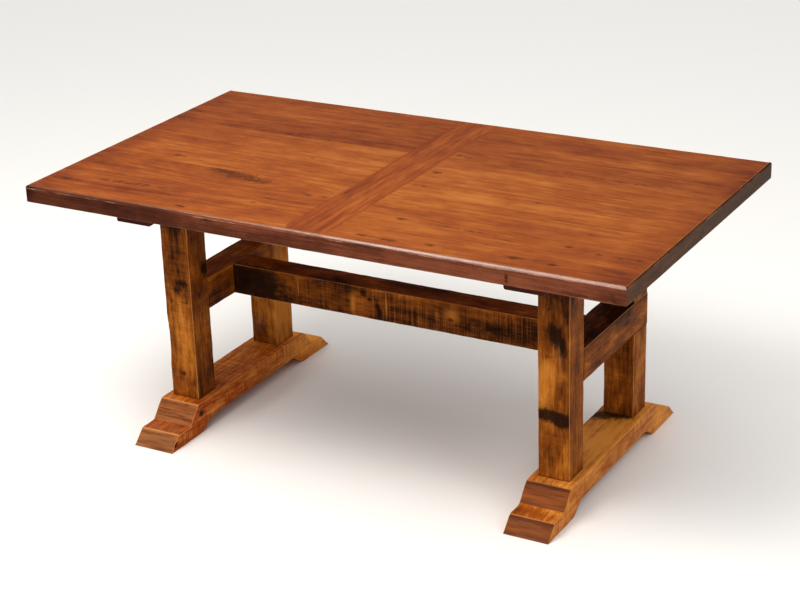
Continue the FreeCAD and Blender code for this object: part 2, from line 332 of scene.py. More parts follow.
RAMP = (0.12, 0.5, 0.88)  # where the dark, middle and light stain lie on the ramp of tones
NOISES = {  # how often each comes in a metre along and across the grain; its detail and roughness
    "cloud": (1.6, 9.0, 3.0, 0.5),
    "streak": (2.6, 62.0, 5.0, 0.62),
    "fibre": (11.0, 420.0, 3.0, 0.6),
    "fine": (26.0, 160.0, 4.0, 0.7),
    "blotch": (9.0, 17.0, 4.0, 0.6),
}
SMEAR = (34.0, 70.0, 4.0, 0.65)  # the same for what breaks up the outlines of knots and stains
RAGS = (60.0, 260.0, 3.0, 0.65)
WARP = (2.0, 7.0, 2.0, 0.5)  # for the bends of the growth rings
SAWN_PATCH = (5.0, 13.0, 2.0, 0.5)  # for the places where the saw marks show
SAW = (4.0, 4.0, 0.75)  # for the saw marks, across the grain
DASH = (2.0, 0.5)  # detail and roughness of the dashes
PATCH = (60.0, 3.0, 0.7)  # for the rubbed places, across the grain
BEND = 0.06  # how far the growth rings bend, in metres
RING_EDGE, RING_MEAN = 1.8, 0.4  # how sharply each ring ends, and its mean darkness
SPANS = {  # the values between which each of these goes from none to full
    "sawn patch": (0.35, 0.65), "dash": (0.6, 0.74), "stain": (0.15, 1.15), "mark": (0.03, 0.35),
    "fine": (-0.15, 0.1),
}
GREY_LEAST = 0.3  # how much of the grey there is between the fine lines
PATCH_EDGE = 0.22  # how soft the outlines of the rubbed places are
RELIEF = 0.6 * MM  # height of the relief of the grain
COAT = {"Coat Roughness": 0.1, "Coat IOR": 1.8}


def wood(name, stains, look):
    """A stained wood. Its stains are those of its dark, middle and light streaks."""
    colours = bpy.context.scene.table_colours
    material, graph = new_material(name)

    def attribute(which, output=2):
        return graph.value("ShaderNodeAttribute", {"attribute_name": which}, output=output)

    def noise(along, across, detail, roughness):
        run = graph.scaled(grain, (along, across, across))
        return graph.noise(run, detail, roughness)

    grain = attribute("grain", 1)
    arris, mark, tone, polish, silver, sawn, figure = map(attribute, ("arris", *LAYERS))
    swings = {label: noise(*given) - 0.5 for label, given in NOISES.items()}
    lines = sum(swing * getattr(look, label) for label, swing in swings.items())

    parts = graph.add("ShaderNodeSeparateXYZ", {}, {0: grain})
    across, depth = (Value(graph, parts.outputs[i]) for i in (1, 2))
    radius = graph.math("SQRT", across * across + depth * depth)
    ring = graph.math("PINGPONG", (radius + noise(*WARP) * BEND) / look.ring_gap, 0.5) * 2.0
    value = 0.5 + tone + (lines - (ring**RING_EDGE - RING_MEAN) * look.ring) * figure
    if look.saw:
        saw = noise(look.saw_run, *SAW)
        patch = graph.ramp(noise(*SAWN_PATCH), *SPANS["sawn patch"])
        shown = look.saw_floor + patch * (1.0 - look.saw_floor)
        value = value + (saw - 0.5) * shown * look.saw * sawn
    base = graph.value("ShaderNodeValToRGB", {"stops": list(zip(RAMP, stains))}, {0: value})

    dashes = graph.ramp(noise(look.dash_run, look.dash_rise, *DASH), *SPANS["dash"])
    base = graph.blend(dashes * look.dash, base, stains[0])

    rags = (noise(*SMEAR) - 0.5) * 1.4 + (noise(*RAGS) - 0.5) * look.ragged
    broken = mark + rags + swings["streak"] * 0.6
    stained = graph.ramp(broken, *SPANS["stain"]) * graph.ramp(mark, *SPANS["mark"]) * look.mark
    base = graph.blend(stained, base, tuple(colours.knot))
    paled = graph.ramp(0.0 - mark, 0.0, 1.0) * 0.75
    base = graph.blend(paled, base, stains[2])
    # Weathered places take the weathered colour; on the edging's front bevel this is also a
    # painted highlight.
    share = GREY_LEAST + graph.ramp(swings["fine"], *SPANS["fine"]) * (1.0 - GREY_LEAST)
    greyed_and_highlight = graph.math("MULTIPLY", silver, share, clamp=True)
    base = graph.blend(greyed_and_highlight, base, tuple(getattr(colours, look.weathered)))

    patchy = graph.ramp(noise(look.patch_run, *PATCH), look.sound, look.sound + PATCH_EDGE)
    rubbed = graph.ramp(arris, look.arris, 0.2 * MM) * patchy
    base = graph.blend(rubbed * look.bare, base, tuple(getattr(colours, look.worn)))

    relief = swings["streak"] * 0.5 + swings["fibre"] - stained * 0.3
    inputs = {"Strength": look.bump, "Distance": RELIEF, "Height": relief}
    graph.surface(COAT | {
        "Base Color": base,
        "Roughness": look.rough + swings["fibre"] * 0.16 + stained * 0.1,
        "Specular IOR Level": look.gloss,
        "Coat Weight": polish,
        "Normal": graph.value("ShaderNodeBump", {}, inputs),
    })
    return material


def metal(name, tint):
    """Zinc plate, a little clouded."""
    material, graph = new_material(name)
    place = graph.value("ShaderNodeTexCoord", output=3)
    cloud = graph.noise(place, detail=4.0, scale=260.0)
    base = graph.blend(graph.ramp(cloud, 0.3, 0.7), tuple(c * 0.6 for c in tint), tint)
    graph.surface({"Base Color": base, "Metallic": 1.0, "Roughness": 0.32 + cloud * 0.25})
    return material


EDGING = Look(
    cloud=0.7, ring=0.06, streak=0.55, fibre=0.45, blotch=0.6, rough=0.36, bump=0.2, bare=0.55,
    gloss=0.025, worn="edge_arris", weathered="edge_arris", sound=0.46, patch_run=9.0, fine=0.35,
)
BOARD = {
    "ring": 0.06, "rough": 0.34, "mark": 0.64, "gloss": 0.07, "ragged": 1.8, "dash": 0.5,
    "dash_run": 7.0, "dash_rise": 230.0, "fine": 0.3,
}
LOOKS = {
    "top": Look(cloud=0.5, streak=0.68, fibre=0.4, bump=0.1, blotch=0.55, **BOARD),
    "cross": Look(cloud=0.4, streak=0.8, fibre=0.5, bump=0.12, blotch=0.4, **BOARD),
    "edge": EDGING,
    "side": EDGING,
    "beam": Look(
        cloud=0.6, ring=0.05, streak=0.55, fibre=0.35, saw=0.5, blotch=1.1, rough=0.5, gloss=0.03,
        bare=0.9, fine=0.6, ragged=1.2,
    ),
    "brace": Look(
        cloud=0.5, ring=0.0, streak=0.35, fibre=0.3, saw=1.6, saw_floor=0.3, saw_run=210.0,
        blotch=1.1, rough=0.5, gloss=0.03, bare=0.8, fine=0.5, ragged=1.2, stains="beam",
    ),
    "foot": Look(
        cloud=0.5, ring=0.0, streak=0.7, fibre=0.4, saw=0.7, blotch=0.8, rough=0.46, gloss=0.05,
        bare=0.6, fine=0.6, ragged=1.2,
    ),
    "red_foot": Look(
        cloud=0.3, ring=0.0, streak=0.6, fibre=0.4, saw=0.9, saw_run=180.0, blotch=0.5, rough=0.46,
        gloss=0.05, bare=0.75, fine=0.6, ragged=1.2, weathered="arris",
    ),
    "under": Look(
        cloud=0.4, ring=0.05, streak=0.6, fibre=0.3, saw=0.3, rough=0.6, gloss=0.04, bare=0.1
    ),
}


def finish(kind):
    """The material of one kind of timber, made when it is first asked for."""
    found = bpy.data.materials.get(f"wood_{kind}")
    if found:
        return found
    look, colours = LOOKS[kind], bpy.context.scene.table_colours
    timber = look.stains or kind
    stains = [tuple(getattr(colours, f"{timber}_{streak}")) for streak in STREAKS]
    return wood(f"wood_{kind}", stains, look)


# ---------------------------------------------------------------- blanks: timbers before the wear
ARC = 4  # steps across the rounding of an arris
SHARP = 0.5 * MM  # an arris with a smaller radius is shaded as a sharp edge
TIGHT = 0.05 * MM  # radius of an arris that another piece hides
LAYERS = {"mark": 0, "tone": 0, "polish": 0, "silver": 0, "sawn": 1, "figure": 1}  # for the finish
KNOT_BEND, KNOT_REACH = 0.75, 3.0  # how far the grain bends round a knot, over how many reaches
SEED_RUN = 3.7  # how far along the tree one seed is from the next, in metres


def eased_section(low, high, arris, cells, flat):
    """An eased rectangle as a ring of points, and each point's distance from its nearest arris.

    The arrises and the sides are given from (low, low) round to (low, high): the bottom side
    first, then the high side, the top and the low side. The arrises are rounded, or cut flat.
    """
    (a0, b0), (a1, b1) = low, high
    corners = np.array([(a0, b0), (a1, b0), (a1, b1), (a0, b1)])
    ways = np.array([(1, 0), (0, 1), (-1, 0), (0, -1)])
    half_arc = 0.0 if flat else math.pi / 4
    share = np.arange(1, ARC) / ARC
    points, near = [], []
    for index, count in enumerate(cells):
        following = (index + 1) % 4
        before, radius = arris[index], arris[following]
        start = corners[index] + ways[index] * before
        stop = corners[following] - ways[index] * radius
        t = np.linspace(0, 1, count + 1)[:, None]
        points.append(start * (1 - t) + stop * t)
        span = math.dist(start, stop)
        run = t[:, 0] * span
        near.append(np.minimum(run + before * half_arc, span - run + radius * half_arc))
        if flat:
            after = corners[following] + ways[following] * radius
            points.append(stop * (1 - share)[:, None] + after * share[:, None])
            near.append(np.minimum(share, 1 - share) * radius * math.sqrt(2))
        else:
            angles = math.radians(90) * (index - 1 + share)
            turn = np.stack([np.cos(angles), np.sin(angles)], axis=1) * radius
            points.append(stop + ways[following] * radius + turn)
            near.append(np.abs(share * 2 - 1) * radius * half_arc)
    return np.concatenate(points), np.concatenate(near)


class Blank:
    """A timber before it is worn: rings of points along its grain, with what its finish reads."""

    def __init__(self, axis, stations, cells, flat=False):
        """Each station is its place along the axis, low corner, high corner and four arrises."""
        self.axis = "XYZ".index(axis)
        self.cross = [i for i in range(3) if i != self.axis]
        self.creases = []  # the columns of points that lie on a sharp edge
        column = 0
        for count, radius in zip(cells, (*stations[0][3][1:], stations[0][3][0])):
            column += count
            if flat or radius < SHARP:
                self.creases += [column, (column + ARC) % (sum(cells) + 4 * ARC)]
            column += ARC
        rings = [eased_section(*station[1:], cells, flat) for station in stations]
        self.points = np.zeros((len(rings), len(rings[0][0]), 3))
        for index, (ring, _) in enumerate(rings):
            self.points[index, :, self.axis] = stations[index][0]
            self.points[index][:, self.cross] = ring
        self.arris = np.stack([near for _, near in rings])
        for layer, start in LAYERS.items():
            setattr(self, layer, np.full(self.arris.shape, float(start)))
        self.bend = np.zeros(self.arris.shape)  # how far the grain is bent aside
        self.inlays = []  # places that show the grain of another timber

    def round_about(self, centre, radii):
        """A number that falls from 1 at a place to 0 well beyond the radii."""
        offset = (self.points - np.array(centre)) / np.array(radii)
        return np.exp(-(offset**2).sum(axis=2))

    def spread(self, layer, centre, radii, amount):
        """Adds to a layer round a place."""
        getattr(self, layer)[:] += amount * self.round_about(centre, radii)

    def knot(self, centre, radii, amount):
        """A knot: a dark heart, with the grain bent round it."""
        self.spread("mark", centre, radii, amount)
        side = self.points[:, :, self.cross[0]] - centre[self.cross[0]]
        self.bend -= KNOT_BEND * side * self.round_about(centre, np.array(radii) * KNOT_REACH)

    def patch(self, face, depth):
        """Shifts the tone in the patches of the upper face that run over several pieces."""
        for x, y, rx, ry, amount in TOP_PATCHES:
            self.spread("tone", (x * MM, y * MM, face), (rx * MM, ry * MM, depth), amount)

    def dent(self, centre, radii, depth):
        """Takes wood away round a place, towards the middle of the timber."""
        middle = self.points.mean(axis=1, keepdims=True)
        inward = middle - self.points
        inward[:, :, self.axis] = 0
        inward /= np.linalg.norm(inward, axis=2, keepdims=True) + 1e-9
        self.points += inward * depth * self.round_about(centre, radii)[:, :, None]

    def inlay(self, where, axis, tone, growth):
        """Gives the wood at some points the tone and the grain of another timber."""
        self.tone[where] += tone
        self.inlays.append((where, "XYZ".index(axis), growth))

    def grain(self, axis, pith, drift, seed):
        """Coordinates along, across and into the tree: the pith is off to one side and drifts."""
        cross = [i for i in range(3) if i != axis]
        run = self.points[:, :, axis]
        across = self.points[:, :, cross[0]] - pith[0] + drift[0] * run + self.bend
        depth = self.points[:, :, cross[1]] - pith[1] + drift[1] * run
        return np.stack([run + seed * SEED_RUN, across, depth], axis=2)

    def mesh(self, name, pith, drift, seed):
        """The closed mesh of the blank, with a fan at each end."""
        count, width = self.arris.shape
        corner = np.arange(count * width).reshape(count, width)
        here, there = corner[:-1], corner[1:]
        quads = np.stack([here, np.roll(here, -1, 1), np.roll(there, -1, 1), there], axis=2)
        quads = quads.reshape(-1, 4).tolist()
        grain = self.grain(self.axis, pith, drift, seed)
        for where, axis, growth in self.inlays:
            grain[where] = self.grain(axis, **growth)[where]
        layers = {"grain": grain, "arris": self.arris}
        layers |= {layer: getattr(self, layer) for layer in LAYERS}
        ends = [0, count - 1]
        points = np.vstack([self.points.reshape(-1, 3), self.points[ends].mean(axis=1)])
        fans = []
        for end, hub in zip(ends, (count * width, count * width + 1)):
            ring = corner[end].tolist()
            fan = list(zip(ring[1:] + ring[:1], ring, [hub] * width))
            fans += fan if end == 0 else [tuple(reversed(face)) for face in fan]
        made = bpy.data.meshes.new(name)
        made.from_pydata(points.tolist(), [], quads + fans)
        made.polygons.foreach_set("use_smooth", [True] * len(quads) + [False] * len(fans))
        pairs = np.empty(len(made.edges) * 2, int)
        made.edges.foreach_get("vertices", pairs)
        first, second = np.sort(pairs.reshape(-1, 2)).T
        sharp = (second - first == width) & (second < count * width)
        made.edges.foreach_set("use_edge_sharp", sharp & np.isin(first % width, self.creases))
        for label, layer in layers.items():
            kind = "FLOAT_VECTOR" if layer.ndim == 3 else "FLOAT"
            flat = layer.reshape(count * width, -1)
            flat = np.vstack([flat, layer[ends].reshape(2, width, -1).mean(axis=1)])
            key = "vector" if layer.ndim == 3 else "value"
            made.attributes.new(label, kind, "POINT").data.foreach_set(key, flat.ravel())
        if self.axis == 1:  # seen along Y, the rings run the other way round
            made.flip_normals()
        return made


# ---------------------------------------------------------------- the tools: wear, holes, screws
WEAR_REACH = 5.0 * MM  # how far from an arris its wear reaches
WEAR_RUN = (16.0, 26.0, 26.0)  # how often its changes come in a metre along and across the grain
WEAR_SPAN = (0.32, 0.78)  # the values of its noise between which it goes from none to full
KERF_RUN = 4.0  # how often the saw marks change, in each metre across the grain
HOLLOW_RUN = (2.6, 11.0, 11.0)  # the same as for the wear, for the hollows
NOISE_STEP = 7.31  # how far apart the noises of two seeds lie
CROWN, CROWN_WIDTH = 0.2, 0.44  # chamfer of a screw's head: its height in heads, and its end's
# radius in widths across the corners
POINT, TIP = 1.5, 0.1  # a screw's point: its length in radii, and its end's radius in core radii
COIL = 0.95  # radius of the thread's profile, in heights of the thread


def tool(name, sockets):
    """A new Geometry Nodes tree with named inputs: its graph, and the inputs as values."""
    tree = bpy.data.node_groups.new(name, "GeometryNodeTree")
    sockets = {"Geometry": "Geometry"} | sockets | {"Material": "Material"}
    for label, kind in sockets.items():
        tree.interface.new_socket(label, in_out="INPUT", socket_type=f"NodeSocket{kind}")
    tree.interface.new_socket("Geometry", in_out="OUTPUT", socket_type="NodeSocketGeometry")
    graph = Graph(tree)
    given = graph.add("NodeGroupInput")
    return graph, {socket.name: Value(graph, socket) for socket in given.outputs if socket.name}


def finish_tool(graph, made, material):
    """Ends a tool: instances are made real and dressed in the material."""
    whole = graph.value("GeometryNodeRealizeInstances", {}, {0: made})
    inputs = {"Geometry": whole, "Material": material}
    dressed = graph.value("GeometryNodeSetMaterial", {}, inputs)
    graph.add("NodeGroupOutput", {}, {0: dressed})
    return graph.tree


def weathering_tool():
    """A Geometry Nodes tree that takes wood away: at the arrises, in saw marks and in hollows."""
    sockets = dict.fromkeys(("Wear", "Kerf", "Kerf spacing", "Hollow"), "Float") | {"Seed": "Int"}
    graph, inputs = tool("weathering", sockets)

    def attribute(which, kind):
        return graph.value("GeometryNodeInputNamedAttribute", {"data_type": kind}, {"Name": which})

    def noise(factors, detail=2.0, roughness=0.5):
        given = {"Vector": graph.scaled(grain, factors), "W": inputs["Seed"] * NOISE_STEP}
        given |= {"Scale": 1.0, "Detail": detail, "Roughness": roughness}
        return graph.value("ShaderNodeTexNoise", {"noise_dimensions": "4D"}, given)

    grain = attribute("grain", "FLOAT_VECTOR")
    edge = graph.ramp(attribute("arris", "FLOAT"), WEAR_REACH, 0.0)
    wear = edge * graph.ramp(noise(WEAR_RUN, 3.0, 0.6), *WEAR_SPAN) * inputs["Wear"]
    pitch = 1.0 / inputs["Kerf spacing"]
    along = graph.value("ShaderNodeCombineXYZ", {}, {0: pitch, 1: KERF_RUN, 2: KERF_RUN})
    depth = wear + noise(along) * inputs["Kerf"] + noise(HOLLOW_RUN) * inputs["Hollow"]
    given = {0: graph.value("GeometryNodeInputNormal"), "Scale": 0.0 - depth}
    offset = graph.value("ShaderNodeVectorMath", {"operation": "SCALE"}, given)
    given = {"Geometry": inputs["Geometry"], "Offset": offset}
    moved = graph.value("GeometryNodeSetPosition", {}, given)
    return finish_tool(graph, moved, inputs["Material"])


def raised(graph, geometry, height):
    """Geometry moved up."""
    way = graph.value("ShaderNodeCombineXYZ", {}, {2: height})
    return graph.value("GeometryNodeTransform", {}, {"Geometry": geometry, "Translation": way})


def boring_tool():
    """A Geometry Nodes tree that bores a pair of flat-bottomed holes from below."""
    sockets = {"First": "Vector", "Apart": "Vector", "Radius": "Float", "Depth": "Float"}
    graph, inputs = tool("boring", sockets)
    given = {"Count": 2, "Start Location": inputs["First"], "Offset": inputs["Apart"]}
    pair = graph.value("GeometryNodeMeshLine", {"mode": "OFFSET"}, given)
    given = {"Vertices": 48, "Radius": inputs["Radius"], "Depth": inputs["Depth"] * 2.0}
    bit = graph.value("GeometryNodeMeshCylinder", {}, given)
    for label, amount in (("arris", 1.0), ("mark", 0.9)):
        settings = {"data_type": "FLOAT", "domain": "POINT"}
        given = {"Geometry": bit, "Name": label, "Value": amount}
        bit = graph.value("GeometryNodeStoreNamedAttribute", settings, given)
    bits = graph.value("GeometryNodeInstanceOnPoints", {}, {"Points": pair, "Instance": bit})
    bits = graph.value("GeometryNodeRealizeInstances", {}, {0: bits})
    settings = {"operation": "DIFFERENCE", "solver": "EXACT"}
    given = {"Mesh 1": inputs["Geometry"], "Mesh 2": bits}
    bored = graph.value("GeometryNodeMeshBoolean", settings, given)
    return finish_tool(graph, bored, inputs["Material"])


def fastener_tool():
    """A Geometry Nodes tree that sets a hexagon-head screw, head down, seated on each point."""
    labels = ("Radius", "Length", "Thread length", "Pitch", "Thread", "Across corners", "Head")
    graph, inputs = tool("fastener", dict.fromkeys(labels, "Float"))
    head, corners, radius = inputs["Head"], inputs["Across corners"], inputs["Radius"]
    length, thread = inputs["Length"], inputs["Thread"]
    crown = head * CROWN
    core = radius - thread
    point = radius * POINT

    def cylinder(sides, wide, tall):
        shape = {"Vertices": sides, "Radius": wide, "Depth": tall}
        return graph.value("GeometryNodeMeshCylinder", {}, shape)

    def cone(sides, bottom, top, tall):
        shape = {"Vertices": sides, "Radius Bottom": bottom, "Radius Top": top, "Depth": tall}
        return graph.value("GeometryNodeMeshCone", {}, shape)

    turns = {
        "Resolution": 20, "Rotations": inputs["Thread length"] / inputs["Pitch"],
        "Start Radius": core, "End Radius": core, "Height": inputs["Thread length"],
    }
    given = {
        "Curve": graph.value("GeometryNodeCurveSpiral", {}, turns),
        "Profile Curve": graph.value(
            "GeometryNodeCurvePrimitiveCircle", {}, {"Resolution": 4, "Radius": thread * COIL}
        ),
        "Fill Caps": True,
    }
    coil = graph.value("GeometryNodeCurveToMesh", {}, given)
    plain = length - inputs["Thread length"] - point
    parts = [
        raised(graph, cylinder(6, corners / 2.0, head - crown), (crown - head) / 2.0),
        raised(graph, cone(6, corners * CROWN_WIDTH, corners / 2.0, crown), 0.0 - head),
        raised(graph, cylinder(24, core, length - point), (length - point) / 2.0),
        raised(graph, cylinder(24, radius, plain), plain / 2.0),
        raised(graph, cone(24, core, core * TIP, point), length - point),
        raised(graph, coil, plain),
    ]
    screw = graph.value("GeometryNodeJoinGeometry", {}, {0: parts})
    given = {"Points": inputs["Geometry"], "Instance": screw}
    screws = graph.value("GeometryNodeInstanceOnPoints", {}, given)
    return finish_tool(graph, screws, inputs["Material"])


def washer_tool():
    """A Geometry Nodes tree that lays a flat washer on each point."""
    labels = ("Outer radius", "Inner radius", "Thickness")
    graph, inputs = tool("washer", dict.fromkeys(labels, "Float"))
    outer, inner = inputs["Outer radius"], inputs["Inner radius"]
    circle = {"Resolution": 48, "Radius": (outer + inner) / 2.0}
    ring = graph.value("GeometryNodeCurvePrimitiveCircle", {}, circle)
    shape = {"Width": outer - inner, "Height": inputs["Thickness"]}
    section = graph.value("GeometryNodeCurvePrimitiveQuadrilateral", {}, shape)
    disc = graph.value("GeometryNodeCurveToMesh", {}, {"Curve": ring, "Profile Curve": section})
    disc = raised(graph, disc, inputs["Thickness"] / 2.0)
    given = {"Points": inputs["Geometry"], "Instance": disc}
    discs = graph.value("GeometryNodeInstanceOnPoints", {}, given)
    return finish_tool(graph, discs, inputs["Material"])


def new_object(name, data):
    """A new object, linked to the scene."""
    made = bpy.data.objects.new(name, data)
    bpy.context.scene.collection.objects.link(made)
    return made


def run_tool(mesh, name, tree, settings):
    """Puts a mesh through a Geometry Nodes tool and returns the finished plain mesh."""
    rough = new_object(f"{name}_blank", mesh)
    modifier = rough.modifiers.new("tool", "NODES")
    modifier.node_group = tree
    for item in tree.interface.items_tree:
        if item.in_out == "INPUT" and item.name in settings:
            modifier[item.identifier] = settings[item.name]
    evaluated = rough.evaluated_get(bpy.context.evaluated_depsgraph_get())
    made = bpy.data.meshes.new_from_object(evaluated)
    rough.modifiers.clear()
    bpy.data.objects.remove(rough)
    made.name = name
    return made


def place(mesh, name, slot, node):
    """Hands a finished mesh to the frame as a piece, in place of its CAD node."""
    piece = new_object(name, mesh)
    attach(piece, BODY)
    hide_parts(node)


def finish_timber(blank, node, kind, slot, growth, wear=None, kerf=0.0, hollow=0.0, bores=None):
    """Wears a blank, bores it, gives it its finish and puts it in place of its CAD node."""
    sizes = bpy.context.scene.table_sizes
    for layer, table in (("mark", STAINS_AND_SHADOWS), ("tone", SHADES), ("silver", SILVERS)):
        for centre, radii, amount in table.get(node, ()):
            blank.spread(layer, np.array(centre) * MM, np.array(radii) * MM, amount)
    for centre, radii, depth in DENTS.get(node, ()):
        blank.dent(np.array(centre) * MM, np.array(radii) * MM, depth * MM)
    name = f"{node}_worn"
    settings = {
        "Wear": sizes.wear if wear is None else wear,
        "Kerf": kerf,
        "Kerf spacing": sizes.kerf_spacing,
        "Hollow": hollow,
        "Seed": growth["seed"],
        "Material": finish(kind),
    }
    tree = bpy.data.node_groups.get("weathering") or weathering_tool()
    mesh = run_tool(blank.mesh(name, **growth), name, tree, settings)
    points = np.empty(len(mesh.vertices) * 3)
    mesh.vertices.foreach_get("co", points)
    points = np.clip(points.reshape(-1, 3), *(np.array(corner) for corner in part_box(node)))
    mesh.vertices.foreach_set("co", points.ravel())
    if bores:
        tree = bpy.data.node_groups.get("boring") or boring_tool()
        mesh = run_tool(mesh, name, tree, bores | {"Material": finish(kind)})
    place(mesh, name, slot, node)
    return mesh


def steps(start, stop, size):
    """Evenly spaced places from start to stop, about one size apart."""
    return np.linspace(start, stop, max(2, round(abs(stop - start) / size) + 1))


def cell_counts(wide, tall):
    """How many cells of the mesh lie along each side of a section."""
    cell = bpy.context.scene.table_sizes.cell
    return [max(1, round(side / cell)) for side in (wide, tall)] * 2


def prismatic(axis, run, low, high, arris, under=None, flat=False):
    """A blank with one section all along. Under is a coarser spacing for a plain lower side."""
    cells = cell_counts(high[0] - low[0], high[1] - low[1])
    if under:
        cells[0] = max(1, round((high[0] - low[0]) / under))
    places = steps(*run, bpy.context.scene.table_sizes.cell)
    return Blank(axis, [(place, low, high, arris) for place in places], cells, flat)


# ---------------------------------------------------------------- stains, worn places, and painted light and shade, in mm
STAINS_AND_SHADOWS = {  # node: centre, reach, and how dark, or how pale where it is negative; those marked are painted shadow or painted shade
    "centre_board": (
        ((-52, -195, 800), (9, 26, 300), 0.9), ((-13, -195, 800), (12, 60, 300), -0.4),
    ),
    "post_front_left": (
        ((-596, -266, 452), (32, 20, 34), 0.62), ((-588, -266, 464), (18, 20, 10), 0.6),
        ((-607, -266, 438), (12, 20, 12), 0.6), ((-628, -266, 401), (13, 16, 7), 0.75),
        ((-584, -266, 403), (16, 16, 6), 0.5), ((-572, -266, 425), (10, 16, 40), 0.4),
        ((-651, -266, 375), (8, 20, 50), 1.0), ((-651, -266, 300), (6, 20, 36), 0.9),
        ((-618, -266, 300), (9, 20, 60), -0.6), ((-588, -266, 270), (12, 20, 55), -0.4),
        ((-611, -266, 169), (24, 20, 22), 0.45), ((-604, -266, 173), (12, 20, 7), 0.5),
        ((-568, -266, 145), (10, 20, 12), 0.7), ((-572, -266, 560), (12, 20, 90), 0.3),
        ((-556, -190, 490), (20, 26, 28), 1.3), ((-556, -222, 416), (20, 12, 16), 0.7),
        ((-556, -240, 150), (20, 30, 40), 0.4), ((-556, -206, 331), (20, 6, 70), -0.4),
    ),
    "edging_front": (
        ((593, -520, 772), (5, 3, 17), 1.1), ((790, -520, 758), (70, 4, 8), 0.8),
        ((880, -520, 764), (30, 4, 12), 0.6), ((-300, -520, 790), (30, 4, 4), 0.9),
        # The next is painted shade: a dark line along the front face just below the bevel.
        ((120, -520, 788), (240, 3, 3), 0.8),
    ),
    "edging_right": (
        ((914, -350, 770), (3, 60, 16), 0.5), ((914, -60, 765), (3, 110, 14), 0.5),
        ((914, 280, 765), (3, 120, 14), 0.5),
    ),
    "post_rear_left": (
        ((-614, 174, 142), (26, 20, 36), 0.85), ((-556, 212, 140), (20, 14, 40), 0.45),
    ),
    "post_front_right": (
        ((585, -266, 595), (8, 16, 10), 0.9), ((585, -266, 595), (3, 16, 4), -1.6),
        ((600, -266, 585), (11, 16, 28), 0.7), ((611, -266, 514), (27, 20, 34), 1.3),
        ((604, -266, 532), (14, 16, 20), 0.8), ((631, -266, 482), (13, 16, 28), 1.0),
        ((596, -266, 640), (30, 16, 40), 0.4), ((588, -266, 454), (14, 16, 5), 0.9),
        ((579, -266, 409), (26, 20, 38), -0.7), ((631, -266, 404), (17, 20, 16), -0.5),
        ((625, -266, 360), (15, 16, 24), 0.6), ((575, -266, 284), (46, 7, 17), 1.6),
        ((632, -266, 272), (34, 7, 23), 1.6), ((651, -228, 400), (12, 2.5, 420), 0.9),
    ),
    "stretcher": (
        ((-525, -45, 404), (90, 20, 130), 1.15), ((-440, -45, 403), (46, 20, 80), 0.6),
        ((-380, -45, 400), (70, 20, 90), 0.45), ((-345, -45, 360), (40, 20, 14), 0.5),
        ((-328, -45, 415), (2.5, 20, 40), -1.0), ((-141, -45, 394), (9, 20, 36), -0.8),
        ((-105, -45, 438), (13, 20, 13), 1.5), ((-86, -45, 416), (9, 20, 9), 1.2),
        ((-60, -45, 402), (7, 20, 20), 1.2), ((-52, -45, 378), (9, 20, 20), 1.4),
        ((-30, -45, 407), (3, 20, 42), -1.0), ((185, -45, 415), (28, 20, 24), -0.7),
        ((180, -45, 400), (6, 20, 4), 1.4), ((255, -45, 405), (32, 20, 28), 0.7),
        ((322, -45, 395), (42, 20, 33), 0.85), ((235, -45, 383), (12, 20, 12), 0.7),
        ((386, -45, 408), (2, 20, 42), -0.8), ((403, -45, 400), (1.6, 20, 42), -0.6),
    ),
    "foot_left": (
        ((-574, -303, 96), (12, 9, 12), 1.1), ((-575, -150, 96), (34, 30, 12), 0.6),
        ((-537, -285, 62), (12, 13, 11), 1.3), ((-538, -423, 22), (7, 9, 11), 2.2),
    ),
    "foot_right": (
        # The next two are painted shadow: the top of the foot darkened in front of the rear post's
        # base.
        ((556, 150, 96), (50, 34, 14), 1.3), ((615, 176, 96), (44, 20, 14), 1.2),
        ((660, -120, 96), (14, 60, 10), 0.3), ((604, -297, 96), (60, 6, 14), 0.8),
        ((604, -340, 60), (60, 5, 14), 0.4),
    ),
}
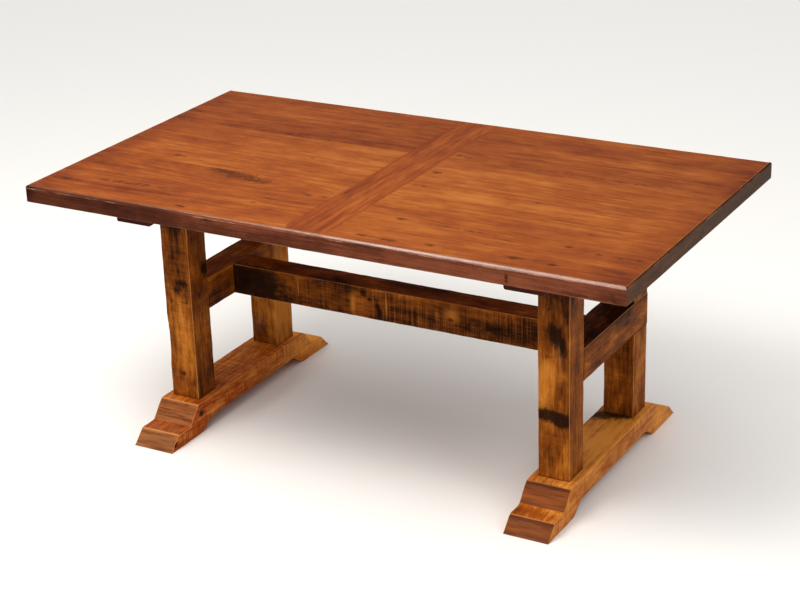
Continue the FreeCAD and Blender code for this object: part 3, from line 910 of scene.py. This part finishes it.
SHADES = {  # node: centre, reach, and change of tone; the wood's own tone, except where marked as painted light
    "post_front_left": (
        ((-604, -266, 700), (90, 90, 150), -0.38), ((-556, -200, 130), (30, 90, 80), -0.2),
        ((-600, -266, 330), (60, 40, 110), 0.2),
    ),
    # Painted light: the inner face of this post lightened, as if in strong light.
    "post_rear_left": (((-556, 220, 230), (16, 60, 160), 0.56),),
    "edging_front": (
        ((-914, -520, 775), (30, 20, 60), -0.35), ((-700, -520, 775), (300, 4, 60), -0.08),
        ((600, -520, 775), (450, 4, 60), 0.14), ((-380, -520, 775), (160, 4, 60), 0.1),
    ),
    "post_front_right": (
        ((604, -266, 680), (90, 90, 120), -0.26), ((651, -220, 400), (12, 60, 300), -0.1),
        ((579, -266, 409), (50, 40, 60), 0.25), ((604, -266, 120), (90, 60, 60), 0.1),
    ),
    "stretcher": (
        ((0, 0, 405), (900, 90, 200), -0.26), ((0, 0, 453), (900, 90, 9), 0.2),
        ((430, -45, 405), (130, 40, 90), -0.06), ((-200, -45, 405), (130, 40, 90), -0.1),
    ),
    "post_rear_right": (((604, 174, 300), (90, 20, 300), -0.12),),
    "edging_right": (
        ((914, 300, 775), (20, 300, 60), -0.12), ((914, 0, 775), (20, 200, 60), -0.07),
    ),
    "cross_rail_left": (
        ((-604, 0, 405), (90, 400, 90), -0.2), ((-604, 0, 453), (90, 400, 9), 0.2),
    ),
    "cross_rail_right": (
        ((604, 0, 470), (90, 400, 30), -0.4), ((649, 0, 405), (20, 400, 90), -0.12),
    ),
    "foot_left": (
        ((-604, 0, 96), (60, 400, 6), 0.16), ((-537, 0, 50), (12, 600, 60), 0.06),
        ((-604, -375, 43), (90, 30, 8), -0.2), ((-604, -428, 20), (60, 16, 20), -0.22),
        # The next is painted light: the rear toe lightened, as if lit.
        ((-604, 400, 50), (90, 190, 90), 0.55),
    ),
    "foot_right": (
        ((604, 0, 50), (900, 900, 900), 0.14), ((604, 0, 96), (60, 400, 6), 0.16),
        ((604, -375, 43), (90, 30, 8), -0.12), ((552, -375, 43), (26, 30, 8), -0.3),
        # The next is painted light: the rear toe lightened, as if lit.
        ((604, 380, 50), (90, 120, 90), 0.52),
    ),
}
SILVERS = {  # node: centre, reach, and how grey the wood has weathered
    "post_rear_left": (((-622, 174, 160), (12, 20, 22), 0.2),),
    "foot_left": (((-604, -375, 43), (90, 30, 8), 0.28),),
    "post_front_right": (
        ((618, -266, 478), (2, 16, 16), 0.45), ((624, -266, 448), (2, 16, 18), 0.5),
    ),
}
DENTS = {  # node: centre, reach and depth
    "post_front_left": (((-651, -266, 270), (16, 60, 60), 4),),
    "foot_left": (((-538, -423, 22), (9, 9, 11), 4),),
}
TOP_TONES = (-0.08, -0.07, 0.01, 0.06, -0.01, -0.06)  # change of tone of each plank, from the rear
TOP_PATCHES = (  # x, y, reach along x and y, change of tone
    (0, 235, 2000, 70, -0.06), (0, 20, 2000, 60, 0.04), (290, -110, 110, 70, 0.1),
    (-890, 0, 60, 900, -0.14), (890, 0, 60, 900, -0.14), (115, 355, 80, 40, -0.14),
    (-690, -358, 110, 14, -0.12), (-900, -250, 450, 330, -0.12), (-360, -205, 110, 34, -0.12),
    (-55, 0, 14, 2000, -0.05), (60, -200, 40, 90, 0.06), (470, 330, 300, 26, 0.1),
    (150, -100, 90, 30, 0.08),
)
TOP_KNOTS = (  # x, y, reach along x and y, darkness
    (-480, -176, 50, 16, 0.7), (-420, -195, 90, 26, 0.7), (-340, -215, 80, 20, 0.6),
    (-700, -388, 90, 12, 0.85), (-600, -378, 60, 9, 0.75), (-840, -420, 60, 10, 0.8),
    (-838, -250, 30, 6, 0.7), (-413, -484, 16, 6, 0.8), (-331, -421, 14, 6, 0.7),
    (-248, -375, 14, 6, 0.75), (-209, -332, 66, 5, 0.81), (-137, -262, 18, 9, 0.9),
    (-240, 377, 12, 7, 0.9), (-296, 21, 12, 6, 0.95), (-658, 26, 26, 6, 0.8),
    (-675, -117, 16, 9, 0.85), (-655, -115, 10, 6, 0.81), (-90, -260, 12, 7, 0.81),
    (-411, -483, 22, 6, 0.8), (-172, -250, 20, 7, 0.75), (-355, -221, 18, 7, 0.8),
    (94, 52, 16, 10, 1.22), (111, -65, 60, 5, 0.74), (150, -72, 40, 4, 0.9),
    (460, -63, 15, 6, 0.9), (366, -60, 12, 5, 0.81), (188, -326, 17, 8, 1.1),
    (185, -320, 30, 4, 0.7), (317, -325, 45, 4, 0.75), (411, -331, 60, 6, 0.95),
    (507, -351, 40, 4, 0.8), (676, -331, 15, 6, 0.95), (770, -347, 15, 7, 1.0),
    (823, -350, 13, 7, 1.0), (873, -345, 11, 6, 0.85), (690, -228, 16, 7, 0.85),
    (157, -471, 26, 6, 0.9), (224, -475, 40, 9, 1.05), (350, -462, 20, 7, 1.05),
    (574, -458, 20, 8, 1.1), (592, -452, 26, 4, 0.8), (690, -460, 15, 8, 1.05),
    (85, 215, 26, 12, 0.61), (120, 205, 12, 7, 0.8), (-300, 190, 60, 8, 0.6),
    (400, 190, 90, 9, 0.55), (620, 185, 80, 7, 0.6), (-560, 185, 70, 8, 0.55),
)


# ---------------------------------------------------------------- pieces
UNRUBBED = 1.0  # a distance from the nearest arris at which no wood is rubbed bare
BOARD_HOLLOW = 0.2 * MM  # depth of the hollows in the upper face


def plank_span(side_name, index):
    """Where a plank shows between its neighbours, from its front to its rear."""
    low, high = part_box(f"plank_{side_name}_{index + 1}")
    return low.y + TONGUE, high.y - (TONGUE if index == 0 else 0)


def plank_growth(side_name, index):
    """How the grain of a plank lies in its tree."""
    front, rear = plank_span(side_name, index)
    seed = index + (7 if side_name == "right" else 0)
    face = cad_box[1][2]
    wander = 0.03 * math.sin(seed * 2.4)
    return {
        "pith": ((front + rear) / 2 + wander, face - 0.12 - 0.03 * math.cos(seed * 1.7)),
        "drift": (0.02 * math.sin(seed), 0.03 * math.cos(seed * 3.1)),
        "seed": seed,
    }


def cross_growth():
    """How the grain of the centre board lies in its tree."""
    return {"pith": (0.02, cad_box[1][2] - 0.1), "drift": (0.01, 0.04), "seed": SEEDS["cross"]}


class TABLE_OT_planks(bpy.types.Operator):
    """Builds the planks of both halves of the top"""

    bl_idname = "table.planks"
    bl_label = "Planks"

    def execute(self, context):
        for side_name, side in SIDES.items():
            for index in range(PLANKS):
                self.plank(f"plank_{side_name}_{index + 1}", side_name, side, index)
        return {"FINISHED"}

    def plank(self, node, side_name, side, index):
        """One plank. Its tongues are left out, because its neighbours hide them."""
        sizes = bpy.context.scene.table_sizes
        low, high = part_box(node)
        front, rear = plank_span(side_name, index)
        upper_rear = TIGHT if index == 0 else sizes.plank_arris
        upper_front = TIGHT if index == PLANKS - 1 else sizes.plank_arris
        arris = (TIGHT, TIGHT, upper_rear, upper_front)
        run = (low.x + TONGUE, high.x - TONGUE)
        blank = prismatic("X", run, (front, low.z), (rear, high.z), arris, under=UNDER_CELL)
        blank.tone += TOP_TONES[index]
        blank.arris[:] = UNRUBBED
        blank.silver += (blank.points[:, :, 2] < low.z + MM) * 0.5  # the underside has no stain
        blank.patch(high.z, 1.0)
        for x, y, rx, ry, amount in TOP_KNOTS:
            if front < y * MM < rear and x * side > 0:
                blank.knot((x * MM, y * MM, high.z), (rx * MM, ry * MM, 0.3), amount)
        finish_timber(
            blank, node, "top", "top_planks", plank_growth(side_name, index),
            wear=sizes.board_wear, hollow=BOARD_HOLLOW,
        )


class TABLE_OT_centre_board(bpy.types.Operator):
    """Builds the board that runs from front to back in the middle of the top"""

    bl_idname = "table.centre_board"
    bl_label = "Centre board"

    def execute(self, context):
        sizes = context.scene.table_sizes
        low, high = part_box("centre_board")
        run = (low.y + TONGUE, high.y - TONGUE)
        arris = (TIGHT, TIGHT, sizes.plank_arris, sizes.plank_arris)
        section = (low.x, low.z), (high.x, high.z)
        blank = prismatic("Y", run, *section, arris, under=UNDER_CELL)
        blank.arris[:] = UNRUBBED
        finish_timber(
            blank, "centre_board", "cross", "cross_board", cross_growth(),
            wear=sizes.board_wear, hollow=BOARD_HOLLOW,
        )
        return {"FINISHED"}


UPPER_BEVELS = {"X": 8 * MM, "Y": 4 * MM}  # outer upper bevel of the edging along each axis
LOWER_BEVEL = 2.0 * MM
LEVEL = 0.95  # the least upward part of a normal on the upper face
ALONG_BEVEL = {  # along the front bevel, from the left: the places, and how much there
    "bright": ((-0.6, -0.2, 0.05, 0.25, 0.9), (0.0, 0.06, 0.22, 0.45, 0.22)),
    # pale: how far the bevel's colour is lightened, partly wood rubbed bare and partly a painted
    # highlight
    "pale": ((-0.6, -0.2, 0.05, 0.25, 0.9), (0.2, 0.6, 0.68, 0.55, 0.5)),
    "thin": ((-0.15, 0.1), (1.0, 0.0)),
    "wide": ((0.2, 0.9), (0.0, 1.0)),
}
DOWN_BEVEL = (  # down the front bevel where the band is narrow, thin and wide
    ((0.0, 0.25, 0.5, 0.75), (0.15, 1.0, 0.8, 0.0)),
    ((0.0, 0.25, 0.5), (0.0, 1.0, 0.0)),
    ((0.0, 0.25, 0.75, 1.0), (0.3, 1.0, 0.8, 0.0)),
)


class TABLE_OT_edging(bpy.types.Operator):
    """Builds the mitred edging round the top"""

    bl_idname = "table.edging"
    bl_label = "Edging"

    def execute(self, context):
        for seed, (name, end) in enumerate(ENDS.items(), SEEDS["edging"]):
            self.strip(f"edging_{name}", "X", end, seed)
        for seed, (name, side) in enumerate(SIDES.items(), SEEDS["edging"] + len(ENDS)):
            self.strip(f"edging_{name}", "Y", side, seed)
        return {"FINISHED"}

    def strip(self, node, axis, end, seed):
        """One length of edging, mitred at both ends, with its bevels on the outer arrises."""
        low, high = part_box(node)
        bevel = UPPER_BEVELS[axis]
        run = "XYZ".index(axis)
        cross = 1 - run
        arris = (TIGHT, LOWER_BEVEL, bevel, TIGHT)
        if end < 0:
            arris = (LOWER_BEVEL, TIGHT, TIGHT, bevel)
        section = (low[cross], low.z), (high[cross], high.z)
        blank = prismatic(axis, (low[run], high[run]), *section, arris, flat=True)
        outer = high[cross] if end > 0 else low[cross]
        inset = np.abs(blank.points[:, :, cross] - outer)
        blank.points[:, :, run] *= (high[run] - inset) / high[run]  # the mitres
        below = high.z - blank.points[:, :, 2]
        self.match_top(blank, (below < 0.15 * MM) * (inset > 0.9 * bevel))
        blank.arris[inset > high[cross] - low[cross] - MM] = UNRUBBED  # the joint is sound
        blank.patch(high.z, MM)
        if node == "edging_front":
            self.polish_bevel(blank, inset, below, bevel)
        growth = {"pith": (outer, low.z - 0.05), "drift": (0.0, 0.01), "seed": seed}
        wear = bpy.context.scene.table_sizes.top_wear
        kind = "edge" if axis == "X" else "side"
        mesh = finish_timber(blank, node, kind, "edging", growth, wear=wear, hollow=BOARD_HOLLOW)
        mesh.materials.append(finish("top"))
        mesh.materials.append(finish("cross"))
        board_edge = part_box("centre_board")[1].x - TONGUE
        for face in mesh.polygons:
            if face.normal.z > LEVEL and face.center.z > high.z - MM:
                face.material_index = 2 if abs(face.center.x) < board_edge else 1

    def polish_bevel(self, blank, inset, below, bevel):
        """Polishes a band along the bevel, which is narrow on the left and widens to the right,
        and pales it: rubbed wood and painted highlight.
        """
        there = {key: np.interp(blank.points[:, :, 0], *run) for key, run in ALONG_BEVEL.items()}
        narrow, thin, wide = (np.interp(below / bevel, *fall) for fall in DOWN_BEVEL)
        band = narrow * (1 - there["thin"]) + thin * there["thin"]
        band = band * (1 - there["wide"]) + wide * there["wide"]
        band *= inset < bevel + 0.1 * MM
        bright = band * there["bright"]
        blank.polish += bright
        # Painted highlight, partly wood rubbed bare: the band is paled towards the worn edging
        # colour.
        blank.silver += band * there["pale"]
        blank.arris += (bright > 0.25) * 5.0 * MM  # the brightest places aren't rubbed bare
        # Painted shade: a dark line on the front face just below the bevel, darker where the band
        # is brightest.
        shaded_lip = (below > 0.9 * bevel) * (below < 1.3 * bevel) * (inset < MM)
        blank.tone -= 0.2 * shaded_lip * there["bright"]

    def match_top(self, blank, where):
        """Stains the upper face of the edging to go on from the planks and the centre board."""
        low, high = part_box("centre_board")
        x, y = blank.points[:, :, 0], blank.points[:, :, 1]
        board = where * (x > low.x + TONGUE) * (x < high.x - TONGUE)
        blank.inlay(board, "Y", 0.0, cross_growth())
        for side_name, side in SIDES.items():
            for index in range(PLANKS):
                front, rear = plank_span(side_name, index)
                front = -math.inf if index == PLANKS - 1 else front
                rear = math.inf if index == 0 else rear
                here = where * ~board * (x * side > 0) * (y >= front) * (y < rear)
                blank.inlay(here, "X", TOP_TONES[index], plank_growth(side_name, index))


class TABLE_OT_cleats(bpy.types.Operator):
    """Builds the cleats under the planks and the batten under the centre board"""

    bl_idname = "table.cleats"
    bl_label = "Cleats and batten"

    def execute(self, context):
        nodes = ("cleat_left", "cleat_right", "centre_batten")
        arris = (4 * MM, 4 * MM, 0.4 * MM, 0.4 * MM)
        for seed, node in enumerate(nodes, SEEDS["cleats"]):
            low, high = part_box(node)
            blank = prismatic("Y", (low.y, high.y), (low.x, low.z), (high.x, high.z), arris)
            growth = {"pith": (low.x, low.z - 0.04), "drift": (0.01, 0.0), "seed": seed}
            finish_timber(
                blank, node, "under", "underside_timber", growth, kerf=0.3 * MM, hollow=0.5 * MM
            )
        return {"FINISHED"}


SHOULDER = 0.2 * MM  # run over which a section changes at a shoulder


def half_section(low, high, side, up):
    """The half of a box's section that lies on one side; up is the section's other axis."""
    middle = (low.x + high.x) / 2
    left, right = (middle, high.x) if side > 0 else (low.x, middle)
    return (left, low[up]), (right, high[up])


class TABLE_OT_posts(bpy.types.Operator):
    """Builds the four posts, the rear ones notched for their cross rails"""

    bl_idname = "table.posts"
    bl_label = "Posts"

    def execute(self, context):
        seed = SEEDS["posts"]
        for side_name, side in SIDES.items():
            for end_name in ENDS:
                self.post(f"post_{end_name}_{side_name}", side_name, side, end_name, seed)
                seed += 1
        return {"FINISHED"}

    def post(self, node, side_name, side, end_name, seed):
        """One post between its foot and its cleat, without its tenons."""
        sizes = bpy.context.scene.table_sizes
        low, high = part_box(node)
        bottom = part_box(f"foot_{side_name}")[1].z
        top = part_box(f"cleat_{side_name}")[0].z
        full = ((low.x, low.y), (high.x, high.y))
        spans = [(bottom, top, full)]
        if end_name == "rear":
            rail_low, rail_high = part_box(f"cross_rail_{side_name}")
            notched = half_section(low, high, -side, 1)
            spans = [
                (bottom, rail_low.z, full),
                (rail_low.z + SHOULDER, rail_high.z - SHOULDER, notched),
                (rail_high.z, top, full),
            ]
        arris = (sizes.timber_arris,) * 4
        stations = []
        for start, stop, section in spans:
            stations += [(z, *section, arris) for z in steps(start, stop, sizes.cell)]
        blank = Blank("Z", stations, cell_counts(high.x - low.x, high.y - low.y))
        growth = {
            "pith": (low.x - 0.02 * side, high.y + 0.03),
            "drift": (0.03 * math.sin(seed), 0.02 * math.cos(seed)),
            "seed": seed,
        }
        finish_timber(
            blank, node, "beam", "trestle_timber", growth, kerf=sizes.kerf, hollow=1.0 * MM
        )


class TABLE_OT_cross_rails(bpy.types.Operator):
    """Builds the cross rails, each half-lapped over its rear post"""

    bl_idname = "table.cross_rails"
    bl_label = "Cross rails"

    def execute(self, context):
        for seed, (side_name, side) in enumerate(SIDES.items(), SEEDS["rails"]):
            self.rail(f"cross_rail_{side_name}", side_name, side, seed)
        return {"FINISHED"}

    def rail(self, node, side_name, side, seed):
        """One cross rail from its front post, halved in width where it laps the rear one."""
        sizes = bpy.context.scene.table_sizes
        low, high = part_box(node)
        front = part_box(f"post_front_{side_name}")[1].y
        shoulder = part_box(f"post_rear_{side_name}")[0].y
        full = ((low.x, low.z), (high.x, high.z))
        arris, lap_arris = (sizes.timber_arris,) * 4, (0.3 * MM,) * 4
        stations = [(y, *full, arris) for y in steps(front, shoulder, sizes.cell)]
        lap = half_section(low, high, side, 2)
        lap_run = steps(shoulder + SHOULDER, high.y, sizes.cell)
        stations += [(y, *lap, lap_arris) for y in lap_run]
        blank = Blank("Y", stations, cell_counts(high.x - low.x, high.z - low.z))
        pith = ((low.x + high.x) / 2, low.z - 0.03)
        growth = {"pith": pith, "drift": (0.02, 0.03), "seed": seed}
        finish_timber(
            blank, node, "beam", "trestle_timber", growth, kerf=sizes.kerf, hollow=0.8 * MM
        )


class TABLE_OT_stretcher(bpy.types.Operator):
    """Builds the long stretcher between the trestles"""

    bl_idname = "table.stretcher"
    bl_label = "Stretcher"

    def execute(self, context):
        sizes = context.scene.table_sizes
        low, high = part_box("stretcher")
        run = (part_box("cross_rail_left")[1].x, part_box("cross_rail_right")[0].x)
        arris = (sizes.timber_arris,) * 4
        blank = prismatic("X", run, (low.y, low.z), (high.y, high.z), arris)
        upper_face = blank.points[:, :, 2] > high.z - sizes.timber_arris
        blank.sawn[upper_face] = 0.25  # rubbed almost smooth
        pith = (high.y, low.z - 0.02)
        growth = {"pith": pith, "drift": (0.02, 0.02), "seed": SEEDS["stretcher"]}
        finish_timber(
            blank, "stretcher", "brace", "trestle_timber", growth,
            kerf=sizes.kerf, hollow=1.0 * MM,
        )
        return {"FINISHED"}


# ---------------------------------------------------------------- feet
TOE_RUN = 42 * MM
TREAD_HEIGHT = 43 * MM
TREAD_DEPTH = 58 * MM
UPPER_RUN = 46 * MM
PAD_LENGTH = 163 * MM
RELIEF_HEIGHT = 33 * MM
RELIEF_RUN = 48 * MM
TOE_LIP = 2 * MM  # height of the blunt tip of each toe
TOE_LEAN = 1 * MM  # how far the tip leans
COUNTERBORE = 15 * MM
WASHER_RADIUS = 12.5 * MM
FEET = {  # foot: its finish, how far its toes' corners are eased, the tone and grey of the toes'
    # bevels, and how dark each bevel is just below its upper corner
    "foot_left": ("red_foot", 3.5 * MM, -0.3, 0.34, 0.06),
    "foot_right": ("foot", 14.0 * MM, -0.34, 0.06, 0.3),
}
FACE = 1.5 * MM  # how far below its crest a ring of points still belongs to the upper face
BEVEL_SPREAD = 0.95  # how far the grain is spread over a bevel, which shows end grain
BEVEL_SAWN, BEVEL_FIGURE = 0.2, 0.75  # how much of the saw marks and of the grain shows there
CREASE = (6 * MM, 2.5 * MM)  # how far from its upper corner a bevel is darkest, and its reach
CORNER_REACH = 2 * MM  # how far round a toe's corners the wood counts as on an arris
RING_STEP = 0.8  # spacing of a foot's rings of points, in cells
LEAST_STEP = 0.2 * MM
ARRIS_SHARE = 0.3  # the most that an arris takes of the height of a toe


def eased(corners, radii):
    """An outline of (y, z) corners as close points, with each corner between its ends rounded."""
    points = [np.array(corners[0])]
    for before, corner, after, radius in zip(corners, corners[1:], corners[2:], radii):
        before, corner, after = (np.array(p, float) for p in (before, corner, after))
        back = (before - corner) / np.linalg.norm(before - corner)
        on = (after - corner) / np.linalg.norm(after - corner)
        for t in np.linspace(0, 1, 7):
            start, stop = corner + back * radius, corner + on * radius
            points.append(start * (1 - t) ** 2 + corner * 2 * t * (1 - t) + stop * t**2)
    points.append(np.array(corners[-1]))
    return np.array(points)


class TABLE_OT_feet(bpy.types.Operator):
    """Builds the feet with their stepped toes"""

    bl_idname = "table.feet"
    bl_label = "Feet"

    def execute(self, context):
        for seed, (node, given) in enumerate(FEET.items(), SEEDS["feet"]):
            self.foot(node, *given, seed)
        return {"FINISHED"}

    def foot(self, node, kind, easing, tone, grey, crease, seed):
        """One foot, with its toes shaped and toned, and its counterbores."""
        sizes = bpy.context.scene.table_sizes
        low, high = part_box(node)
        toe = high.y  # from it inwards, the nose and the cove bound the tread; the brow is above
        nose = toe - TOE_RUN
        cove = nose - TREAD_DEPTH
        brow = cove - UPPER_RUN
        heel = toe - PAD_LENGTH
        corners = [(0, high.z), (brow, high.z), (cove, TREAD_HEIGHT), (nose, TREAD_HEIGHT)]
        corners += [(toe - TOE_LEAN, TOE_LIP), (toe, 0.5 * MM)]
        upper = eased(corners, (easing, easing, easing, TOE_LEAN))
        corners = [(0, RELIEF_HEIGHT), (heel - RELIEF_RUN, RELIEF_HEIGHT), (heel, 0), (toe, 0)]
        lower = eased(corners, (10 * MM, 2 * MM))
        blank = self.rings(low, high, upper, lower)

        middle = (low.x + high.x) / 2
        reach, level = np.abs(blank.points[:, :, 1]), blank.points[:, :, 2]
        for y, z in ((brow, high.z), (nose, TREAD_HEIGHT)):  # the toes' corners are arrises too
            gap = np.hypot(reach - y, level - z) - CORNER_REACH
            blank.arris = np.minimum(blank.arris, np.maximum(gap, 0))
        face = level.max(axis=1, keepdims=True) - level < FACE
        bevels = ((reach > brow) * (reach < cove) + (reach > nose)) * face
        blank.tone += bevels * tone
        blank.silver += bevels * grey
        blank.bend -= bevels * BEVEL_SPREAD * (blank.points[:, :, 0] - middle)
        blank.sawn[bevels > 0] = BEVEL_SAWN
        blank.figure[bevels > 0] = BEVEL_FIGURE
        for start in (brow, nose):
            blank.tone -= crease * face * np.exp(-(((reach - start - CREASE[0]) / CREASE[1]) ** 2))
        growth = {"pith": (middle, low.z - 0.02), "drift": (0.02, 0.01), "seed": seed}
        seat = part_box("lag_bolt_washers")[1]
        bolt_y = seat.y - WASHER_RADIUS
        bores = {
            "First": (middle, -bolt_y, RELIEF_HEIGHT),
            "Apart": (0.0, 2 * bolt_y, 0.0),
            "Radius": COUNTERBORE,
            "Depth": seat.z - RELIEF_HEIGHT,
        }
        finish_timber(
            blank, node, kind, "foot_timber", growth,
            wear=sizes.foot_wear, kerf=0.35 * MM, hollow=0.8 * MM, bores=bores,
        )

    def rings(self, low, high, upper, lower):
        """The blank of a foot between the upper and lower outlines of its front half."""
        sizes = bpy.context.scene.table_sizes
        run = np.concatenate([[0.0], np.cumsum(np.hypot(*np.diff(upper, axis=0).T))])
        along = steps(0, run[-1], sizes.cell * RING_STEP)
        half = np.unique(np.concatenate([np.interp(along, run, upper[:, 0]), upper[:, 0]]))
        half = half[np.concatenate([[True], np.diff(half) > LEAST_STEP])]
        arris = (1.0 * MM, 1.0 * MM, sizes.foot_arris, sizes.foot_arris)
        stations = []
        for y in np.concatenate([-half[:0:-1], half]):
            top, bottom = (np.interp(abs(y), *outline.T) for outline in (upper, lower))
            fitted = tuple(min(radius, (top - bottom) * ARRIS_SHARE) for radius in arris)
            stations.append((y, (low.x, bottom), (high.x, top), fitted))
        return Blank("Y", stations, cell_counts(high.x - low.x, high.z))


# ---------------------------------------------------------------- fasteners
SCREWS = {  # node: sizes in mm
    "cleat_screws": {
        "Radius": 3.0, "Length": 83.0, "Thread length": 40.0, "Pitch": 2.8, "Thread": 0.8,
        "Across corners": 11.547, "Head": 4.5,
    },
    "lag_bolts": {
        "Radius": 5.0, "Length": 110.0, "Thread length": 70.0, "Pitch": 4.5, "Thread": 1.2,
        "Across corners": 19.63, "Head": 7.0,
    },
}
WASHER = {"Outer radius": WASHER_RADIUS / MM, "Inner radius": 5.4, "Thickness": 2.0}


def axes(node):
    """The X and Y of each fastener that shares a CAD node."""
    held = frame["nodes"][node]
    groups = []
    for vertex in held.data.vertices:
        point = (held.matrix_world @ vertex.co).xy
        home = next((g for g in groups if (g[0] - point).length < 2 * WASHER_RADIUS + MM), None)
        if home:
            home.append(point)
        else:
            groups.append([point])
    spots = [np.array([tuple(point) for point in group]) for group in groups]
    return [(spot.min(axis=0) + spot.max(axis=0)) / 2 for spot in spots]


class TABLE_OT_fasteners(bpy.types.Operator):
    """Sets the lag screws under the cleats, the lag bolts under the feet and their washers"""

    bl_idname = "table.fasteners"
    bl_label = "Fasteners"

    def execute(self, context):
        zinc = metal("zinc", tuple(context.scene.table_colours.steel))
        screw = fastener_tool()
        for node, sizes in SCREWS.items():
            self.set_all(node, screw, sizes["Head"], sizes, zinc)
        self.set_all("lag_bolt_washers", washer_tool(), 0.0, WASHER, zinc)
        return {"FINISHED"}

    def set_all(self, node, tree, seat, sizes, material):
        """Runs a tool on the seats of a CAD node's fasteners, and puts them in its place."""
        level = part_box(node)[0].z + seat * MM
        mesh = bpy.data.meshes.new(f"{node}_seats")
        mesh.from_pydata([(x, y, level) for x, y in axes(node)], [], [])
        settings = {label: size * MM for label, size in sizes.items()} | {"Material": material}
        name = f"{node}_turned"
        place(run_tool(mesh, name, tree, settings), name, "steel", node)


# ---------------------------------------------------------------- studio
CAMERA_PLACE = (2.56935, -4.50553, 2.54930)
CAMERA_TURN = (1.18095, 0.02968, 0.50744)
FLOOR_REACH = 40.0
SKY_RISE = (0.3, 0.85)  # the height in the sky at which the daylight starts and is full
LOW_SKY = 0.12  # how strong it is below that
BACKDROP = 0.9  # the brightness of the sky that the camera sees
LIGHTS = {  # light: its place, the point it looks at, its size and its tint
    "softbox": ((-0.9, -1.6, 3.3), (0.0, -0.2, 0.8), (2.2, 1.4), (1.0, 0.96, 0.92)),
    "fill": ((0.6, -5.0, 2.2), (0.0, 0.0, 0.4), (3.0, 2.0), (1.0, 1.0, 1.0)),
    "side_light": ((4.0, -1.0, 2.4), (0.6, 0.0, 0.4), (2.0, 2.0), (1.0, 1.0, 1.0)),
}


class TABLE_OT_studio(bpy.types.Operator):
    """Builds the floor, the lights and the camera"""

    bl_idname = "table.studio"
    bl_label = "Studio"

    def execute(self, context):
        self.floor()
        self.lights()
        self.camera()
        return {"FINISHED"}

    def floor(self):
        mesh = bpy.data.meshes.new("floor")
        level = cad_box[0][2]
        corners = ((-1, -1), (1, -1), (1, 1), (-1, 1))
        points = [(x * FLOOR_REACH, y * FLOOR_REACH, level) for x, y in corners]
        mesh.from_pydata(points, [], [(0, 1, 2, 3)])
        floor = new_object("floor", mesh)
        material, graph = new_material("floor")
        tint = (*bpy.context.scene.table_colours.floor, 1.0)
        graph.surface({"Base Color": tint, "Roughness": 0.9})
        mesh.materials.append(material)
        floor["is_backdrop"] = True

    def light(self, name, place, target, size, tint, power):
        """An area light that looks at a point."""
        data = bpy.data.lights.new(name, "AREA")
        data.shape = "RECTANGLE"
        data.size, data.size_y = size
        data.energy = power
        data.color = tint
        light = new_object(name, data)
        light.location = place
        light.rotation_euler = (Vector(target) - Vector(place)).to_track_quat("-Z", "Y").to_euler()

    def lights(self):
        studio = bpy.context.scene.table_studio
        world = bpy.data.worlds.new("daylight")
        world.use_nodes = True
        graph = Graph(world.node_tree)
        sky = world.node_tree.nodes["Background"]
        sky.inputs["Color"].default_value = (1.0, 1.0, 1.0, 1.0)
        way = graph.value("ShaderNodeTexCoord", output=0)
        parts = graph.add("ShaderNodeSeparateXYZ", {}, {0: way})
        height = graph.ramp(Value(graph, parts.outputs[2]), *SKY_RISE)
        seen = graph.value("ShaderNodeLightPath", output=0)
        strength = studio.daylight * (LOW_SKY + height * (1.0 - LOW_SKY))
        strength = seen * BACKDROP + (1.0 - seen) * strength
        world.node_tree.links.new(strength.socket, sky.inputs["Strength"])
        bpy.context.scene.world = world
        for name, given in LIGHTS.items():
            self.light(name, *given, getattr(studio, name))

    def camera(self):
        data = bpy.data.cameras.new("camera")
        data.sensor_width = 36.0
        data.lens = bpy.context.scene.table_studio.lens
        camera = new_object("camera", data)
        camera.location = CAMERA_PLACE
        camera.rotation_euler = CAMERA_TURN
        bpy.context.scene.camera = camera
        bpy.context.scene.view_settings.view_transform = "Standard"


# ---------------------------------------------------------------- panel and registration
PIECES = (
    TABLE_OT_planks,
    TABLE_OT_centre_board,
    TABLE_OT_edging,
    TABLE_OT_cleats,
    TABLE_OT_posts,
    TABLE_OT_cross_rails,
    TABLE_OT_stretcher,
    TABLE_OT_feet,
    TABLE_OT_fasteners,
    TABLE_OT_studio,
)


class TABLE_PT_panel(bpy.types.Panel):
    """Lists the table's pieces in the sidebar"""

    bl_idname = "TABLE_PT_panel"
    bl_label = "Trestle table"
    bl_space_type = "VIEW_3D"
    bl_region_type = "UI"
    bl_category = "Table"

    def draw(self, context):
        for operator in PIECES:
            self.layout.operator(operator.bl_idname)


GROUPS = {"table_sizes": TableSizes, "table_colours": TableColours, "table_studio": TableStudio}


def register():
    for item in (*GROUPS.values(), *PIECES, TABLE_PT_panel):
        bpy.utils.register_class(item)
    for name, group in GROUPS.items():
        setattr(bpy.types.Scene, name, bpy.props.PointerProperty(type=group))


def unregister():
    for name in GROUPS:
        delattr(bpy.types.Scene, name)
    for item in reversed((*GROUPS.values(), *PIECES, TABLE_PT_panel)):
        bpy.utils.unregister_class(item)


def main():
    """Builds every piece in turn and gathers the bounding boxes of the CAD parts and of the
    visible pieces.
    """
    register()
    for operator in PIECES:
        group, name = operator.bl_idname.split(".")
        getattr(getattr(bpy.ops, group), name)()
    boxes = {"cad": cad_box, "visual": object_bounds()}
    plain = {name: [list(corner) for corner in box] for name, box in boxes.items()}


if __name__ == "__main__":
    main()
